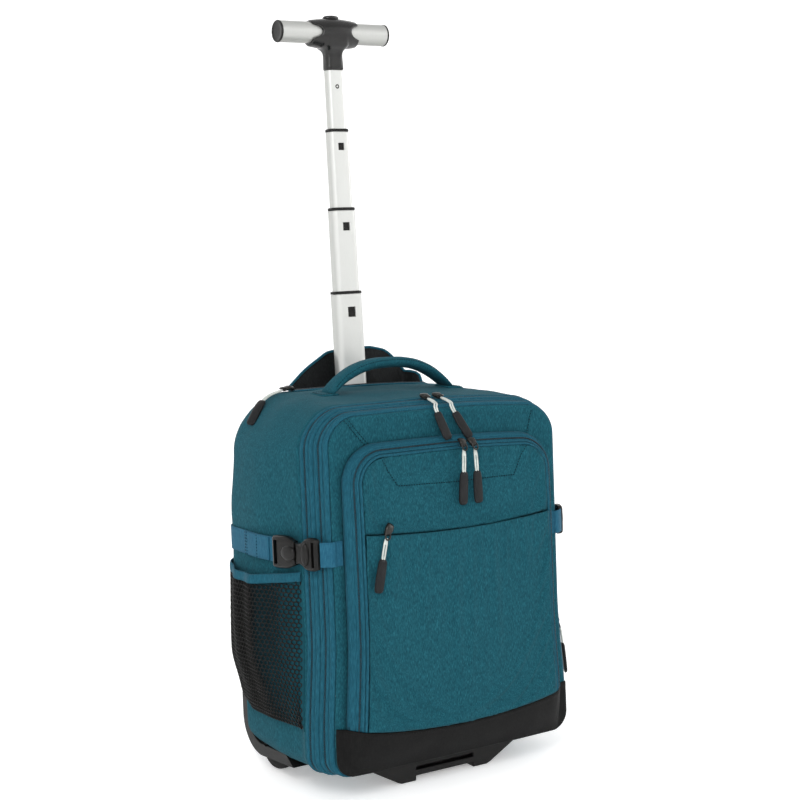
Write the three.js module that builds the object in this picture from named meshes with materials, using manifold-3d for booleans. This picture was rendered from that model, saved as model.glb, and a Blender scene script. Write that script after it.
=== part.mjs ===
// Wheeled backpack: a soft travel backpack on two wheels and a front foot, standing with its
// four-stage pull handle drawn out. Millimetres, +Z up, the front faces -Y.
import * as THREE from 'three';
import { mergeVertices } from 'three/addons/utils/BufferGeometryUtils.js';
import Module from 'manifold-3d';

const wasm = await Module();
wasm.setup();

// Clearances and cloth
const gap = 0.3;
const clothWall = 2;
const webWall = 1.8;

// The bag, in its own upright frame, which leans back as it stands
const bagLean = 3.89;
const bagHalfWidth = 176.5;
const bagHeight = 426;
const bagClearance = 26;
const bagBack = 104;
const bagDepth = 212;
const bottomCorner = 22;
const topCorner = 75;
const backPadThickness = 8;

// Front pocket and the coated boot under it
const pocketHalfWidth = 144;
const pocketDrop = 53;
const pocketTop = bagClearance + bagHeight - pocketDrop;
const pocketCorner = 46;
const pocketDepth = 37;
const bootHeight = 58;
const bootSag = 14;
const bootWall = 2.5;
const slitHeight = 301;
const slitSag = 8;
const lowerPanelStep = 1.6;
const pipingProud = 1.6;

// Pull handle
const poleSetback = 90.4;
const poleExtraLean = 1.78;
const poleWall = 1.1;
const poleSideClear = 1.4;
const poleClear = 0.4;
const topStageWidth = 23;
const topStageDepth = 14;
const collarHeight = 3.4;
const collarProud = 0.8;
const sleeveDrop = 39;
const neckHeight = 45;
const neckWidth = 25;
const neckDepth = 16;
const gripLength = 148.8;
const gripDiameter = 26;
const gripWall = 1.2;
const hubHalfWidth = 35;
const hubWall = 4.6;
const buttonTravel = 2.4;

// Running gear
const wheelRadius = 32;
const wheelWidth = 18;
const wheelTrack = 302;
const wheelSetback = 43;
const axleDiameter = 6;
const housingWall = 3;
const housingHalfWidth = 170;
const footFront = -85;
const footDepth = 34;
const footHalfWidth = 62;
const footNotchHalfWidth = 41;
const footNotchHeight = 6;

// Straps, buckles, handle and side pockets
const webWidth = 28;
const strapHeight = 279;
const buckleLength = 66;
const buckleWidth = 37;
const buckleThickness = 10;
const handleHalfSpan = 85;
const handleRise = 27;
const handleWidth = 26;
const handleThickness = 14;
const handleSetback = 7;
const flapHalfWidth = 88;
const flapRise = 49;
const meshTop = 252;
const meshBottom = 75;
const meshBulge = 15;
const bindingHeight = 11;
const sidePocketTop = 262;
const shoulderPadWidth = 54;
const shoulderPadThickness = 10;
const armLoopRise = 27;
const tabLength = 36;
const tabWidth = 9;
const tabThickness = 3.4;
const pullDrop = 35;
const mainPullReach = 40;

const finishes = {
  melange: { color: 0x24606f, roughness: 0.9, metalness: 0 },
  webbing: { color: 0x2a6079, roughness: 0.75, metalness: 0 },
  coated: { color: 0x2b2b2b, roughness: 0.6, metalness: 0 },
  mesh: { color: 0x212221, roughness: 0.9, metalness: 0 },
  plastic: { color: 0x353634, roughness: 0.5, metalness: 0 },
  rubber: { color: 0x2d2f32, roughness: 0.8, metalness: 0 },
  aluminium: { color: 0xe2e3de, roughness: 0.3, metalness: 0.9 },
};

const up = new THREE.Vector3(0, 0, 1);
const degrees = THREE.MathUtils.degToRad;
const lerp = THREE.MathUtils.lerp;
const vec = (x, y, z) => new THREE.Vector3(x, y, z);

// Evenly spaced values from start to end, both included
function spread(start, end, steps) {
  return Array.from({ length: steps + 1 }, (_, i) => lerp(start, end, i / steps));
}

// Reads a table of rows at any place of its first column, in a straight line between rows
function readTable(rows, key, at) {
  const last = rows.length - 1;
  let i = 0;
  while (i < last - 1 && at > rows[i + 1][key]) i += 1;
  const share = THREE.MathUtils.clamp((at - rows[i][key]) / (rows[i + 1][key] - rows[i][key]), 0, 1);
  const out = {};
  for (const column of Object.keys(rows[i])) {
    if (typeof rows[i][column] === 'number') out[column] = lerp(rows[i][column], rows[i + 1][column], share);
  }
  return out;
}

// One closed body from points and triangles, turned to face outwards
function bodyFrom(points, triangles) {
  let volume = 0;
  for (let i = 0; i < triangles.length; i += 3) {
    const [a, b, c] = [points[triangles[i]], points[triangles[i + 1]], points[triangles[i + 2]]];
    volume += a.dot(vec(0, 0, 0).crossVectors(b, c));
  }
  const index = volume < 0 ? [...triangles].reverse() : triangles;
  const geometry = new THREE.BufferGeometry();
  geometry.setAttribute('position', new THREE.Float32BufferAttribute(points.flatMap((p) => p.toArray()), 3));
  geometry.setIndex(index);
  return geometry;
}

// Triangles that fill a loop, in the order of its points
function capTriangles(loop) {
  const normal = vec(0, 0, 0);
  loop.forEach((p, i) => normal.add(p.clone().cross(loop[(i + 1) % loop.length])));
  normal.normalize();
  const across = vec(0, 0, 0).crossVectors(Math.abs(normal.z) < 0.9 ? up : vec(1, 0, 0), normal).normalize();
  const along = normal.clone().cross(across);
  const flat = loop.map((p) => new THREE.Vector2(p.dot(across), p.dot(along)));
  return THREE.ShapeUtils.triangulateShape(flat, []);
}

// Skins loops of equal length; joined turns the last loop back to the first, otherwise ends are capped
function loft(loops, joined = false) {
  const count = loops[0].length;
  const points = loops.flat();
  const triangles = [];
  const rows = joined ? loops.length : loops.length - 1;
  for (let row = 0; row < rows; row += 1) {
    const here = row * count;
    const next = ((row + 1) % loops.length) * count;
    for (let i = 0; i < count; i += 1) {
      const j = (i + 1) % count;
      triangles.push(here + i, here + j, next + j, here + i, next + j, next + i);
    }
  }
  if (!joined) {
    for (const [loop, first, flip] of [[loops[0], 0, true], [loops.at(-1), points.length - count, false]]) {
      for (const [a, b, c] of capTriangles(loop)) {
        triangles.push(...(flip ? [first + c, first + b, first + a] : [first + a, first + b, first + c]));
      }
    }
  }
  return bodyFrom(points, triangles);
}

// A sheet between an outer and an inner face, both given at each column u and row v
function sheet(us, vs, outer, inner) {
  const rows = vs.length;
  const points = [outer, inner].flatMap((face) => us.flatMap((u) => vs.map((v) => face(u, v))));
  const half = points.length / 2;
  const at = (i, j) => i * rows + j;
  const triangles = [];
  const quad = (a, b, c, d) => triangles.push(a, b, c, a, c, d);
  for (let i = 0; i < us.length - 1; i += 1) {
    for (let j = 0; j < rows - 1; j += 1) {
      quad(at(i, j), at(i + 1, j), at(i + 1, j + 1), at(i, j + 1));
      quad(half + at(i, j), half + at(i, j + 1), half + at(i + 1, j + 1), half + at(i + 1, j));
    }
    for (const [j, flip] of [[0, false], [rows - 1, true]]) {
      const edge = [at(i, j), half + at(i, j), half + at(i + 1, j), at(i + 1, j)];
      quad(...(flip ? edge.reverse() : edge));
    }
  }
  for (let j = 0; j < rows - 1; j += 1) {
    for (const [i, flip] of [[0, true], [us.length - 1, false]]) {
      const edge = [at(i, j), half + at(i, j), half + at(i, j + 1), at(i, j + 1)];
      quad(...(flip ? edge.reverse() : edge));
    }
  }
  return bodyFrom(points, triangles);
}

// Solids for cutting and joining
function solidOf(geometry) {
  const plain = geometry.clone();
  plain.deleteAttribute('normal');
  plain.deleteAttribute('uv');
  const merged = mergeVertices(plain, 1e-3);
  const vertProperties = new Float32Array(merged.attributes.position.array);
  const triVerts = new Uint32Array(merged.index.array);
  return new wasm.Manifold(new wasm.Mesh({ numProp: 3, vertProperties, triVerts }));
}

function geometryOf(solid) {
  const { vertProperties, triVerts } = solid.getMesh();
  const geometry = new THREE.BufferGeometry();
  geometry.setAttribute('position', new THREE.Float32BufferAttribute(vertProperties, 3));
  geometry.setIndex([...triVerts]);
  return geometry;
}

const join = (...parts) => geometryOf(parts.map(solidOf).reduce((sum, part) => sum.add(part)));
const cut = (body, ...tools) => geometryOf(tools.map(solidOf).reduce((rest, tool) => rest.subtract(tool), solidOf(body)));
const common = (...parts) => geometryOf(parts.map(solidOf).reduce((sum, part) => sum.intersect(part)));

// A flat outline pushed along X (points are y, z) or along Y (points are x, z)
const alongX = new THREE.Matrix4().set(0, 0, 1, 0, 1, 0, 0, 0, 0, 1, 0, 0, 0, 0, 0, 1);
const alongY = new THREE.Matrix4().set(1, 0, 0, 0, 0, 0, -1, 0, 0, 1, 0, 0, 0, 0, 0, 1);

function prism(outline, axis, start, length) {
  const shape = new THREE.Shape(outline.map(([a, b]) => new THREE.Vector2(a, b)));
  const body = new THREE.ExtrudeGeometry(shape, { depth: length, bevelEnabled: false });
  body.applyMatrix4(axis);
  return axis === alongX ? body.translate(start, 0, 0) : body.translate(0, start + length, 0);
}

function block(width, depth, height, centre) {
  return new THREE.BoxGeometry(width, depth, height).translate(centre.x, centre.y, centre.z);
}

// A round body about the X axis; the profile's rows are radius and x
function turned(profile, sides) {
  const points = [...profile, profile[0]].map(([r, x]) => new THREE.Vector2(r, x));
  return new THREE.LatheGeometry(points, sides).rotateZ(-Math.PI / 2);
}

function rod(radius, length, sides) {
  return new THREE.CylinderGeometry(radius, radius, length, sides).rotateZ(-Math.PI / 2);
}

function add(parent, name, geometry, finish) {
  const mesh = new THREE.Mesh(geometry, new THREE.MeshStandardMaterial(finishes[finish]));
  mesh.name = name;
  parent.add(mesh);
  return mesh;
}

// Mirrors a body made for the left side over to the right
function mirrored(geometry) {
  const copy = geometry.clone().scale(-1, 1, 1);
  copy.setIndex([...copy.index.array].reverse());
  return copy;
}

const backpack = new THREE.Group();
const bag = new THREE.Group();
bag.rotation.x = -degrees(bagLean);
backpack.add(bag);

// Main body: cross sections from the back edge to the front groove, each row as shares of
// bagDepth, bagHalfWidth, bagHeight (rise of the bottom, drop of the top) and topCorner
const bodySections = [
  { name: 'back edge', place: 0, half: 0.85, rise: 0.07, drop: 0.035, corner: 0.8 },
  { name: 'back round', place: 0.04, half: 0.93, rise: 0.034, drop: 0.012, corner: 0.92 },
  { name: 'rear', place: 0.12, half: 0.975, rise: 0.01, drop: 0.002, corner: 1 },
  { name: 'middle', place: 0.49, half: 1, rise: 0, drop: 0.008, corner: 0.88 },
  { name: 'side front', place: 0.81, half: 0.985, rise: 0, drop: 0.02, corner: 0.7 },
  { name: 'groove', place: 1, half: 0.89, rise: 0, drop: 0.042, corner: 0.5 },
];
const placeOf = (name) => bodySections.find((row) => row.name === name).place;
const yOf = (place) => bagBack - place * bagDepth;
const sectionAt = (y) => readTable(bodySections, 'place', (bagBack - y) / bagDepth);
const halfAt = (y) => sectionAt(y).half * bagHalfWidth;
const topAt = (y) => bagClearance + (1 - sectionAt(y).drop) * bagHeight;

// The bag's outline at a depth, a rounded rectangle drawn in by inset
function bodyLoop(y, inset) {
  const row = sectionAt(y);
  const half = row.half * bagHalfWidth - inset;
  const low = bagClearance + row.rise * bagHeight + inset;
  const high = topAt(y) - inset;
  const corners = [
    { x: half, z: high, radius: row.corner * topCorner - inset, start: 0 },
    { x: -half, z: high, radius: row.corner * topCorner - inset, start: 90 },
    { x: -half, z: low, radius: Math.max(bottomCorner - inset, gap), start: 180 },
    { x: half, z: low, radius: Math.max(bottomCorner - inset, gap), start: 270 },
  ];
  return corners.flatMap(({ x, z, radius, start }) => {
    const steps = start < 180 ? 5 : 3;
    return spread(start, start + 90, steps).map((angle) => vec(
      x - Math.sign(x) * radius + radius * Math.cos(degrees(angle)),
      y,
      z - (start < 180 ? radius : -radius) + radius * Math.sin(degrees(angle)),
    ));
  });
}

// A cloth ring round the bag between two depths, with its outer face at each depth's offset
function bodyRing(stations) {
  const outer = stations.map(({ y, proud }) => bodyLoop(y, -proud));
  const inner = stations.map(({ y, proud }) => bodyLoop(y, clothWall - Math.min(proud, 0)));
  return loft([...outer, ...inner.reverse()], true);
}

// Wheel housings: a moulded corner band that wraps the bag's lower back edge, with the wheel's well
const bandWidth = 14;
const bandArc = { y: 50, z: 62, radius: 43 };
const bandTop = 88;
const bandFront = -24;
const bandInnerFront = -8;
const lean = degrees(bagLean);
const wheelPlace = vec(wheelTrack / 2, 0, 0);
wheelPlace.y = wheelSetback * Math.cos(lean) - wheelRadius * Math.sin(lean);
wheelPlace.z = wheelSetback * Math.sin(lean) + wheelRadius * Math.cos(lean);
const housingDepth = housingHalfWidth - wheelTrack / 2 + wheelWidth / 2 + 2 * housingWall;

function bandOutline(grow) {
  const arc = (radius, from, to) => spread(from, to, 6).map((angle) => [
    bandArc.y + radius * Math.cos(degrees(angle)),
    bandArc.z + radius * Math.sin(degrees(angle)),
  ]);
  const outer = arc(bandArc.radius + grow, 0, -90);
  const inner = arc(bandArc.radius - bandWidth - grow, -90, 0);
  return [
    [bandArc.y + bandArc.radius + grow, bandTop + grow],
    ...outer,
    [bandFront - grow, bandArc.z - bandArc.radius + 2 - grow],
    [bandInnerFront - grow, bandArc.z - bandArc.radius + bandWidth + grow],
    ...inner,
    [bandArc.y + bandArc.radius - bandWidth - grow, bandTop + grow],
  ];
}

const wellClear = 2.5;
const wellRadius = wheelRadius + wellClear + housingWall;
const wellWidth = wheelWidth + 2 * (wellClear + housingWall);
const atWheel = (body) => body.translate(wheelPlace.x, wheelPlace.y, wheelPlace.z);

function housingSolid(grow) {
  const band = prism(bandOutline(grow), alongX, housingHalfWidth - housingDepth - grow, housingDepth + 2 * grow);
  const well = atWheel(rod(wellRadius + grow, wellWidth + 2 * grow, 24));
  const floor = bandArc.z - bandArc.radius - grow;
  const below = block(4 * wellRadius, 4 * wellRadius, wellRadius, vec(wheelPlace.x, 0, floor - wellRadius / 2));
  return join(band, cut(well, below));
}

const wheelSpace = atWheel(rod(wheelRadius + wellClear, wheelWidth + 2 * wellClear, 24));
const axleHole = atWheel(rod(axleDiameter / 2 + gap, 2 * wellWidth, 12));
const housing = cut(housingSolid(0), wheelSpace, axleHole);
const housingCut = housingSolid(gap);

add(bag, 'housing_right', housing, 'plastic');
add(bag, 'housing_left', mirrored(housing), 'plastic');

// Wheels: a soft tyre round a spoked centre, turned as one profile, on a plain axle
const wheelProfile = [
  { radius: axleDiameter / 2 + gap, x: -0.46 },
  { radius: 8, x: -0.46 },
  { radius: 10, x: -0.2 },
  { radius: wheelRadius * 0.66, x: -0.2 },
  { radius: wheelRadius * 0.7, x: -0.44 },
  { radius: wheelRadius * 0.93, x: -0.44 },
  { radius: wheelRadius, x: -0.22 },
];
const wheelSide = wheelProfile.map(({ radius, x }) => [radius, x * wheelWidth]);
const wheelLoop = [...wheelSide, ...[...wheelSide].reverse().map(([radius, x]) => [radius, -x])];
const wheel = atWheel(turned(wheelLoop, 24));
const axle = atWheel(rod(axleDiameter / 2, wellWidth - 1, 12));
for (const [side, turn] of [['right', (body) => body], ['left', mirrored]]) {
  add(bag, `wheel_${side}`, turn(wheel), 'rubber');
  add(bag, `axle_${side}`, turn(axle), 'plastic');
}

// Main gusset: the ring of cloth that makes the sides, top and bottom, with the pole's mouth in its top
const sideFront = yOf(placeOf('side front'));
const groove = yOf(1);
const gussetRows = bodySections.map((row) => yOf(row.place)).filter((y) => y > sideFront);
const gussetFront = sideFront + gap;
const mouthFront = poleSetback - topStageDepth;
const mouth = block(
  2 * flapHalfWidth,
  bagBack - mouthFront,
  topCorner,
  vec(0, (bagBack + mouthFront) / 2 + gap, bagClearance + bagHeight),
);
const gussetStations = [...gussetRows, gussetFront].map((y) => ({ y, proud: 0 }));
const gusset = cut(bodyRing(gussetStations), mouth, housingCut, mirrored(housingCut));
add(bag, 'main_gusset', gusset, 'melange');

// Zip tapes and pipings: rings between the gusset and the groove, as shares of that depth
const bandStack = [
  { name: 'zip_tape_rear', share: 0.34, proud: -0.6, finish: 'webbing' },
  { name: 'piping_rear', share: 0.15, proud: pipingProud, finish: 'webbing' },
  { name: 'zip_tape_front', share: 0.33, proud: -0.6, finish: 'webbing' },
  { name: 'piping_front', share: 0.18, proud: pipingProud, finish: 'webbing' },
];
const stackDepth = sideFront - groove;
let bandStart = sideFront;
for (const { name, share, proud, finish } of bandStack) {
  const from = bandStart;
  const to = bandStart - share * stackDepth + gap;
  const ys = proud > 0 ? [from, (from + to) / 2, to] : [from, to];
  add(bag, name, bodyRing(ys.map((y) => ({ y, proud: y === from || y === to ? Math.min(proud, 0) : proud }))), finish);
  bandStart = to - gap;
}

// Pads that close the ring: the padded back and the front panel
function pad(y, steps) {
  return loft(steps.map(({ inset, out }) => bodyLoop(y, inset).map((p) => p.setY(p.y + out))));
}
const backPanel = pad(bagBack, [
  { inset: 2, out: gap },
  { inset: 0, out: gap + 0.3 * backPadThickness },
  { inset: 4, out: gap + 0.8 * backPadThickness },
  { inset: 26, out: gap + backPadThickness },
]);
add(bag, 'back_panel', backPanel, 'melange');
const panelBack = groove - gap;
const panelFront = panelBack - clothWall;
add(bag, 'front_panel', pad(groove, [{ inset: 1, out: -gap }, { inset: 1.4, out: panelFront - groove }]), 'melange');

// The pocket's swell: how far its surface stands out at each distance in from its edge
const pocketProfile = [
  { inset: -13, proud: 0.08 },
  { inset: 0, proud: 0.1 },
  { inset: 1, proud: 0.3 },
  { inset: 5, proud: 0.52 },
  { inset: 12, proud: 0.72 },
  { inset: 20, proud: 0.82 },
  { inset: 45, proud: 0.93 },
  { inset: 150, proud: 1 },
];
// How much of that swell there is at each height, as shares of pocketTop
const pocketHeights = [
  { height: 0.06, full: 0.1 },
  { height: 0.1, full: 0.4 },
  { height: 0.14, full: 0.7 },
  { height: 0.18, full: 0.9 },
  { height: 0.23, full: 1 },
  { height: 0.6, full: 1.04 },
  { height: 0.8, full: 1 },
  { height: 1, full: 0.86 },
];
const proudOf = (inset, z) => pocketDepth
  * readTable(pocketProfile, 'inset', inset).proud
  * readTable(pocketHeights, 'height', z / pocketTop).full;

// Distance in from the pocket's edge, whose top corners are round
function pocketInset(x, z) {
  const across = pocketHalfWidth - Math.abs(x);
  const down = pocketTop - z;
  if (across < pocketCorner && down < pocketCorner) {
    return pocketCorner - Math.hypot(pocketCorner - across, pocketCorner - down);
  }
  return Math.min(across, down);
}
const pocketY = (x, z, lift) => panelFront - gap - lift - proudOf(pocketInset(x, z), z);

// The pocket's edge drawn in by inset, from the lower left over the top to the lower right
const bootTopAt = (x) => bagClearance + bootHeight - bootSag * (1 - (x / pocketHalfWidth) ** 2);
function pocketPath(inset) {
  const half = pocketHalfWidth - inset;
  const radius = pocketCorner - inset;
  const low = bootTopAt(half) + 3 * gap;
  const shoulder = pocketTop - pocketCorner;
  const corner = (start, x) => spread(start, start - 90, 4).map((angle) => ({
    x: x + radius * Math.cos(degrees(angle)),
    z: shoulder + radius * Math.sin(degrees(angle)),
  }));
  const side = spread(low, shoulder, 3).slice(0, -1);
  return [
    ...side.map((z) => ({ x: -half, z })),
    ...corner(180, -half + radius),
    ...corner(90, half - radius),
    ...side.map((z) => ({ x: half, z })).reverse(),
  ];
}

// Zip band and piping that run round the pocket's edge; stations are insets, inner ones sit a wall deeper
function pocketStrip(stations) {
  const rails = stations.map(({ inset, deep }) => pocketPath(inset).map(({ x, z }) => vec(x, pocketY(x, z, -deep), z)));
  return loft(rails[0].map((_, i) => rails.map((rail) => rail[i])));
}
const bandInset = 12.5;
add(bag, 'pocket_zip_band', pocketStrip([
  { inset: 0, deep: 0 },
  { inset: 1, deep: 0 },
  { inset: 5, deep: 0 },
  { inset: bandInset, deep: 0 },
  { inset: bandInset, deep: clothWall },
  { inset: 6.5, deep: clothWall + 1 },
  { inset: 3, deep: 6 },
  { inset: 2.4, deep: pocketDepth * 0.1 + 4 },
]), 'webbing');
const pipingWidth = 3.6;
add(bag, 'pocket_piping', pocketStrip([
  { inset: bandInset + gap, deep: 0 },
  { inset: bandInset + pipingWidth / 2, deep: -pipingProud },
  { inset: bandInset + pipingWidth, deep: 0 },
  { inset: bandInset + pipingWidth, deep: clothWall },
  { inset: bandInset + gap, deep: clothWall },
]), 'webbing');

// Pocket face in two panels, parted at the slit; the lower one laps in front
const faceInset = bandInset + pipingWidth + gap;
const facePivot = { x: 0, z: lerp(bagClearance, pocketTop, 0.55) };
function faceLoop(share, lift) {
  const path = pocketPath(faceInset);
  const half = pocketHalfWidth - faceInset;
  const floor = spread(half, -half, 6).slice(1, -1).map((x) => ({ x, z: bootTopAt(x) + 3 * gap }));
  return [...path, ...floor].map((p) => {
    const x = lerp(facePivot.x, p.x, share);
    const z = lerp(facePivot.z, p.z, share);
    return vec(x, pocketY(x, z, lift), z);
  });
}
const faceShares = [0.3, 0.62, 0.86, 0.95, 1];
const face = (lift) => loft([
  ...faceShares.map((share) => faceLoop(share, lift)),
  ...[...faceShares].reverse().map((share) => faceLoop(share, lift - clothWall)),
]);
const slitAt = (x) => slitHeight - slitSag * (1 - (x / pocketHalfWidth) ** 2);
const slitLine = spread(-pocketHalfWidth, pocketHalfWidth, 8);
const aboveSlit = prism(
  [...slitLine.map((x) => [x, slitAt(x)]), [pocketHalfWidth, bagHeight], [-pocketHalfWidth, bagHeight]],
  alongY, panelFront - 2 * pocketDepth, 2 * pocketDepth,
);
const belowSlit = prism(
  [...slitLine.map((x) => [x, slitAt(x) - gap]).reverse(), [-pocketHalfWidth, 0], [pocketHalfWidth, 0]],
  alongY, panelFront - 2 * pocketDepth, 2 * pocketDepth,
);
add(bag, 'pocket_upper_panel', common(face(0), aboveSlit), 'melange');
add(bag, 'pocket_lower_panel', common(face(lowerPanelStep), belowSlit), 'melange');

// Boot: the coated lower front, from edge to edge under the pocket, drawn in round the bottom corners
const panelHalf = readTable(bodySections, 'place', 1).half * bagHalfWidth;
function bootX(u, z) {
  const rise = Math.min(z - bagClearance, bottomCorner);
  const drawn = bottomCorner - Math.sqrt(bottomCorner ** 2 - (bottomCorner - rise) ** 2);
  return u * (panelHalf - 1 - drawn);
}
const bootColumns = [-1, -0.95, -0.9, -0.85, -0.77, -0.6, -0.3, 0, 0.3, 0.6, 0.77, 0.85, 0.9, 0.95, 1];
const bootRows = [1, 0.86, 0.66, 0.48, 0.3, 0.15, 0.03];
function bootFace(deep) {
  return (u, v) => {
    const z = lerp(bagClearance, bootTopAt(u * panelHalf), v);
    const x = bootX(u, z);
    const out = Math.max(proudOf(pocketInset(x, z), z), bootWall + gap);
    return vec(x, panelFront - out - gap + deep, z);
  };
}
add(bag, 'boot', sheet(bootColumns, bootRows, bootFace(0), bootFace(bootWall)), 'coated');

// A sheet laid on the left side of the bag; lift says how far it stands off at each place
const sideColumns = (from, to) => {
  const between = bodySections.map((row) => yOf(row.place)).filter((y) => y < from && y > to);
  return [from, ...between, to].flatMap((y, i, all) => (i ? [(all[i - 1] + y) / 2, y] : [y]));
};
function sideSheet(columns, rows, lift, wall) {
  const outer = (y, v) => vec(-halfAt(y) - lift(y, v) - wall, y, rows(y, v));
  const inner = (y, v) => vec(-halfAt(y) - lift(y, v), y, rows(y, v));
  return sheet(columns, spread(0, 1, 5), outer, inner);
}

// Mesh pocket on the left, open at the top, with a bound edge; bulge follows the bottle it holds
const meshBack = yOf(placeOf('back round')) - 2;
const meshFront = sideFront + 3;
const meshShare = (y) => (meshBack - y) / (meshBack - meshFront);
const meshSwell = (y) => Math.sin(Math.PI * THREE.MathUtils.clamp(meshShare(y), 0, 1));
const meshTopAt = (y) => meshTop + 5 * meshShare(y) - 7 * meshSwell(y);
const meshBottomAt = (y) => lerp(bandTop + gap, meshBottom, THREE.MathUtils.clamp(6 * meshShare(y) - 0.6, 0, 1));
const meshLift = (y, v) => gap + meshBulge * meshSwell(y) * v ** 0.7;
add(bag, 'mesh_pocket', sideSheet(
  sideColumns(meshBack, meshFront),
  (y, v) => lerp(meshBottomAt(y), meshTopAt(y) - bindingHeight - gap, v),
  meshLift,
  1.2,
), 'mesh');
add(bag, 'mesh_pocket_binding', sideSheet(
  sideColumns(meshBack, meshFront),
  (y, v) => lerp(meshTopAt(y) - bindingHeight, meshTopAt(y), v),
  (y) => meshLift(y, 1),
  clothWall,
), 'melange');

// Zipped pocket on the right, low and full, closed against the side all round
const zippedBack = yOf(placeOf('rear')) - 6;
const zippedFront = sideFront + 4;
const zippedSwell = (y) => Math.sin(Math.PI * (zippedBack - y) / (zippedBack - zippedFront)) ** 0.6;
const zipped = sideSheet(
  sideColumns(zippedBack, zippedFront),
  (y, v) => lerp(bandTop + gap, sidePocketTop, v),
  (y, v) => gap + 0.9 * meshBulge * Math.max(0, zippedSwell(y)) * Math.sin(Math.PI * v) ** 0.5,
  clothWall,
);
add(bag, 'side_pocket_right', mirrored(zipped), 'melange');

// Compression straps: the buckle lies across the bag's front corner, and the straps run from it
const cornerPoint = vec(-halfAt(sideFront), sideFront, strapHeight);
const buckleTurn = degrees(17.5);
const buckleAlong = vec(Math.sin(buckleTurn), -Math.cos(buckleTurn), 0);
const buckleOut = vec(-Math.cos(buckleTurn), -Math.sin(buckleTurn), 0);
const buckleSeat = 2 * gap + 2;
const buckleCentre = cornerPoint.clone().addScaledVector(buckleOut, buckleThickness / 2 + buckleSeat);
const onBuckle = (along, out, rise = 0) => buckleCentre.clone()
  .addScaledVector(buckleAlong, along)
  .addScaledVector(buckleOut, out)
  .addScaledVector(up, rise);

// A webbing strap through points of the plan, standing on edge
function strap(points, tall, wall) {
  const outs = points.map((p, i) => {
    const along = points[Math.min(i + 1, points.length - 1)].clone().sub(points[Math.max(i - 1, 0)]);
    return vec(along.y, -along.x, 0).normalize();
  });
  const place = (i, v, side) => points[i].clone().addScaledVector(outs[i], side).addScaledVector(up, v * tall);
  const marks = points.map((_, i) => i);
  return sheet(marks, [-0.5, 0.5], (i, v) => place(i, v, 0), (i, v) => place(i, v, wall));
}

// Buckle halves as flat shapes across the webbing; rows are shares of buckleLength and buckleWidth
const socketShape = [
  [-0.5, -0.42], [-0.46, -0.5], [-0.2, -0.5], [-0.06, -0.36], [-0.06, 0.36], [-0.2, 0.5], [-0.46, 0.5], [-0.5, 0.42],
];
const socketSlot = [[-0.45, -0.36], [-0.38, -0.38], [-0.38, 0.38], [-0.45, 0.36]];
const plugShape = [
  [-0.06, -0.22], [0.08, -0.22], [0.2, -0.46], [0.3, -0.5], [0.5, -0.46], [0.5, 0.46], [0.3, 0.5], [0.2, 0.46],
  [0.08, 0.22], [-0.06, 0.22],
];
const plugSlot = [[0.38, -0.38], [0.44, -0.38], [0.44, 0.38], [0.38, 0.38]];
function plate(shape, shift, thickness) {
  const outline = new THREE.Shape(shape.map(([a, b]) => new THREE.Vector2(a * buckleLength + shift, b * buckleWidth)));
  const body = new THREE.ExtrudeGeometry(outline, { depth: thickness, bevelEnabled: false });
  body.translate(0, 0, -thickness / 2);
  const frame = new THREE.Matrix4().makeBasis(buckleAlong, up, buckleAlong.clone().cross(up)).setPosition(buckleCentre);
  return body.applyMatrix4(frame);
}
const socket = cut(plate(socketShape, 0, buckleThickness), plate(socketSlot, 0, 2 * buckleThickness));
const plug = cut(plate(plugShape, gap, buckleThickness * 0.8), plate(plugSlot, gap, 2 * buckleThickness));
const endLift = buckleThickness / 2 + gap;
const sidePoint = (y, out) => vec(-halfAt(y) - out, y, strapHeight);
const rearSeat = onBuckle(-0.5 * buckleLength + 1, -endLift - webWall);
const rearStrap = strap([
  sidePoint(yOf(0.01), gap),
  sidePoint(yOf(placeOf('back round')), gap + 0.4),
  sidePoint(yOf(placeOf('rear')), gap + 0.4),
  sidePoint(yOf(0.28), gap + 2),
  rearSeat,
  onBuckle(-0.28 * buckleLength, -endLift - webWall),
], webWidth, webWall);
const pocketEdge = vec(-pocketHalfWidth - gap, panelFront - gap, strapHeight);
const frontStrap = strap([
  onBuckle(0.53 * buckleLength, -webWall),
  vec(-panelHalf - 1, panelFront - 2, strapHeight),
  vec(-panelHalf + 5, panelFront - gap, strapHeight),
  pocketEdge,
], webWidth, webWall);
for (const [side, turn] of [['left', (body) => body], ['right', mirrored]]) {
  add(bag, `strap_rear_${side}`, turn(rearStrap), 'webbing');
  add(bag, `buckle_socket_${side}`, turn(socket), 'plastic');
  add(bag, `buckle_plug_${side}`, turn(plug), 'plastic');
  add(bag, `strap_front_${side}`, turn(frontStrap), 'webbing');
}

// Carry handle: a padded loop of the bag's cloth over the top
const handleSteps = 14;
const handleSide = [
  { angle: 0 }, { angle: 40 }, { angle: 90 }, { angle: 140 }, { angle: 180 }, { angle: 220 }, { angle: 270 }, { angle: 320 },
];
const handleFoot = topAt(handleSetback + handleWidth / 2) + gap;
const handleLoops = spread(-1, 1, handleSteps).map((u) => {
  const swell = 1 - Math.abs(u) ** 6;
  const thick = lerp(0.35, 1, swell) * handleThickness;
  const slope = -Math.sign(u) * 2.6 * Math.abs(u) ** 1.6 * handleRise / handleHalfSpan;
  const across = vec(-slope, 0, 1).normalize();
  const centre = vec(u * handleHalfSpan, handleSetback, handleFoot + handleRise * (1 - Math.abs(u) ** 2.6));
  if (Math.abs(u) === 1) across.set(Math.sign(u), 0, 0);
  return handleSide.map(({ angle }) => centre.clone()
    .addScaledVector(across, thick / 2 * Math.sin(degrees(angle)))
    .add(vec(0, handleWidth / 2 * Math.cos(degrees(angle)), 0)));
});
add(bag, 'carry_handle', loft(handleLoops), 'melange');

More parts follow.
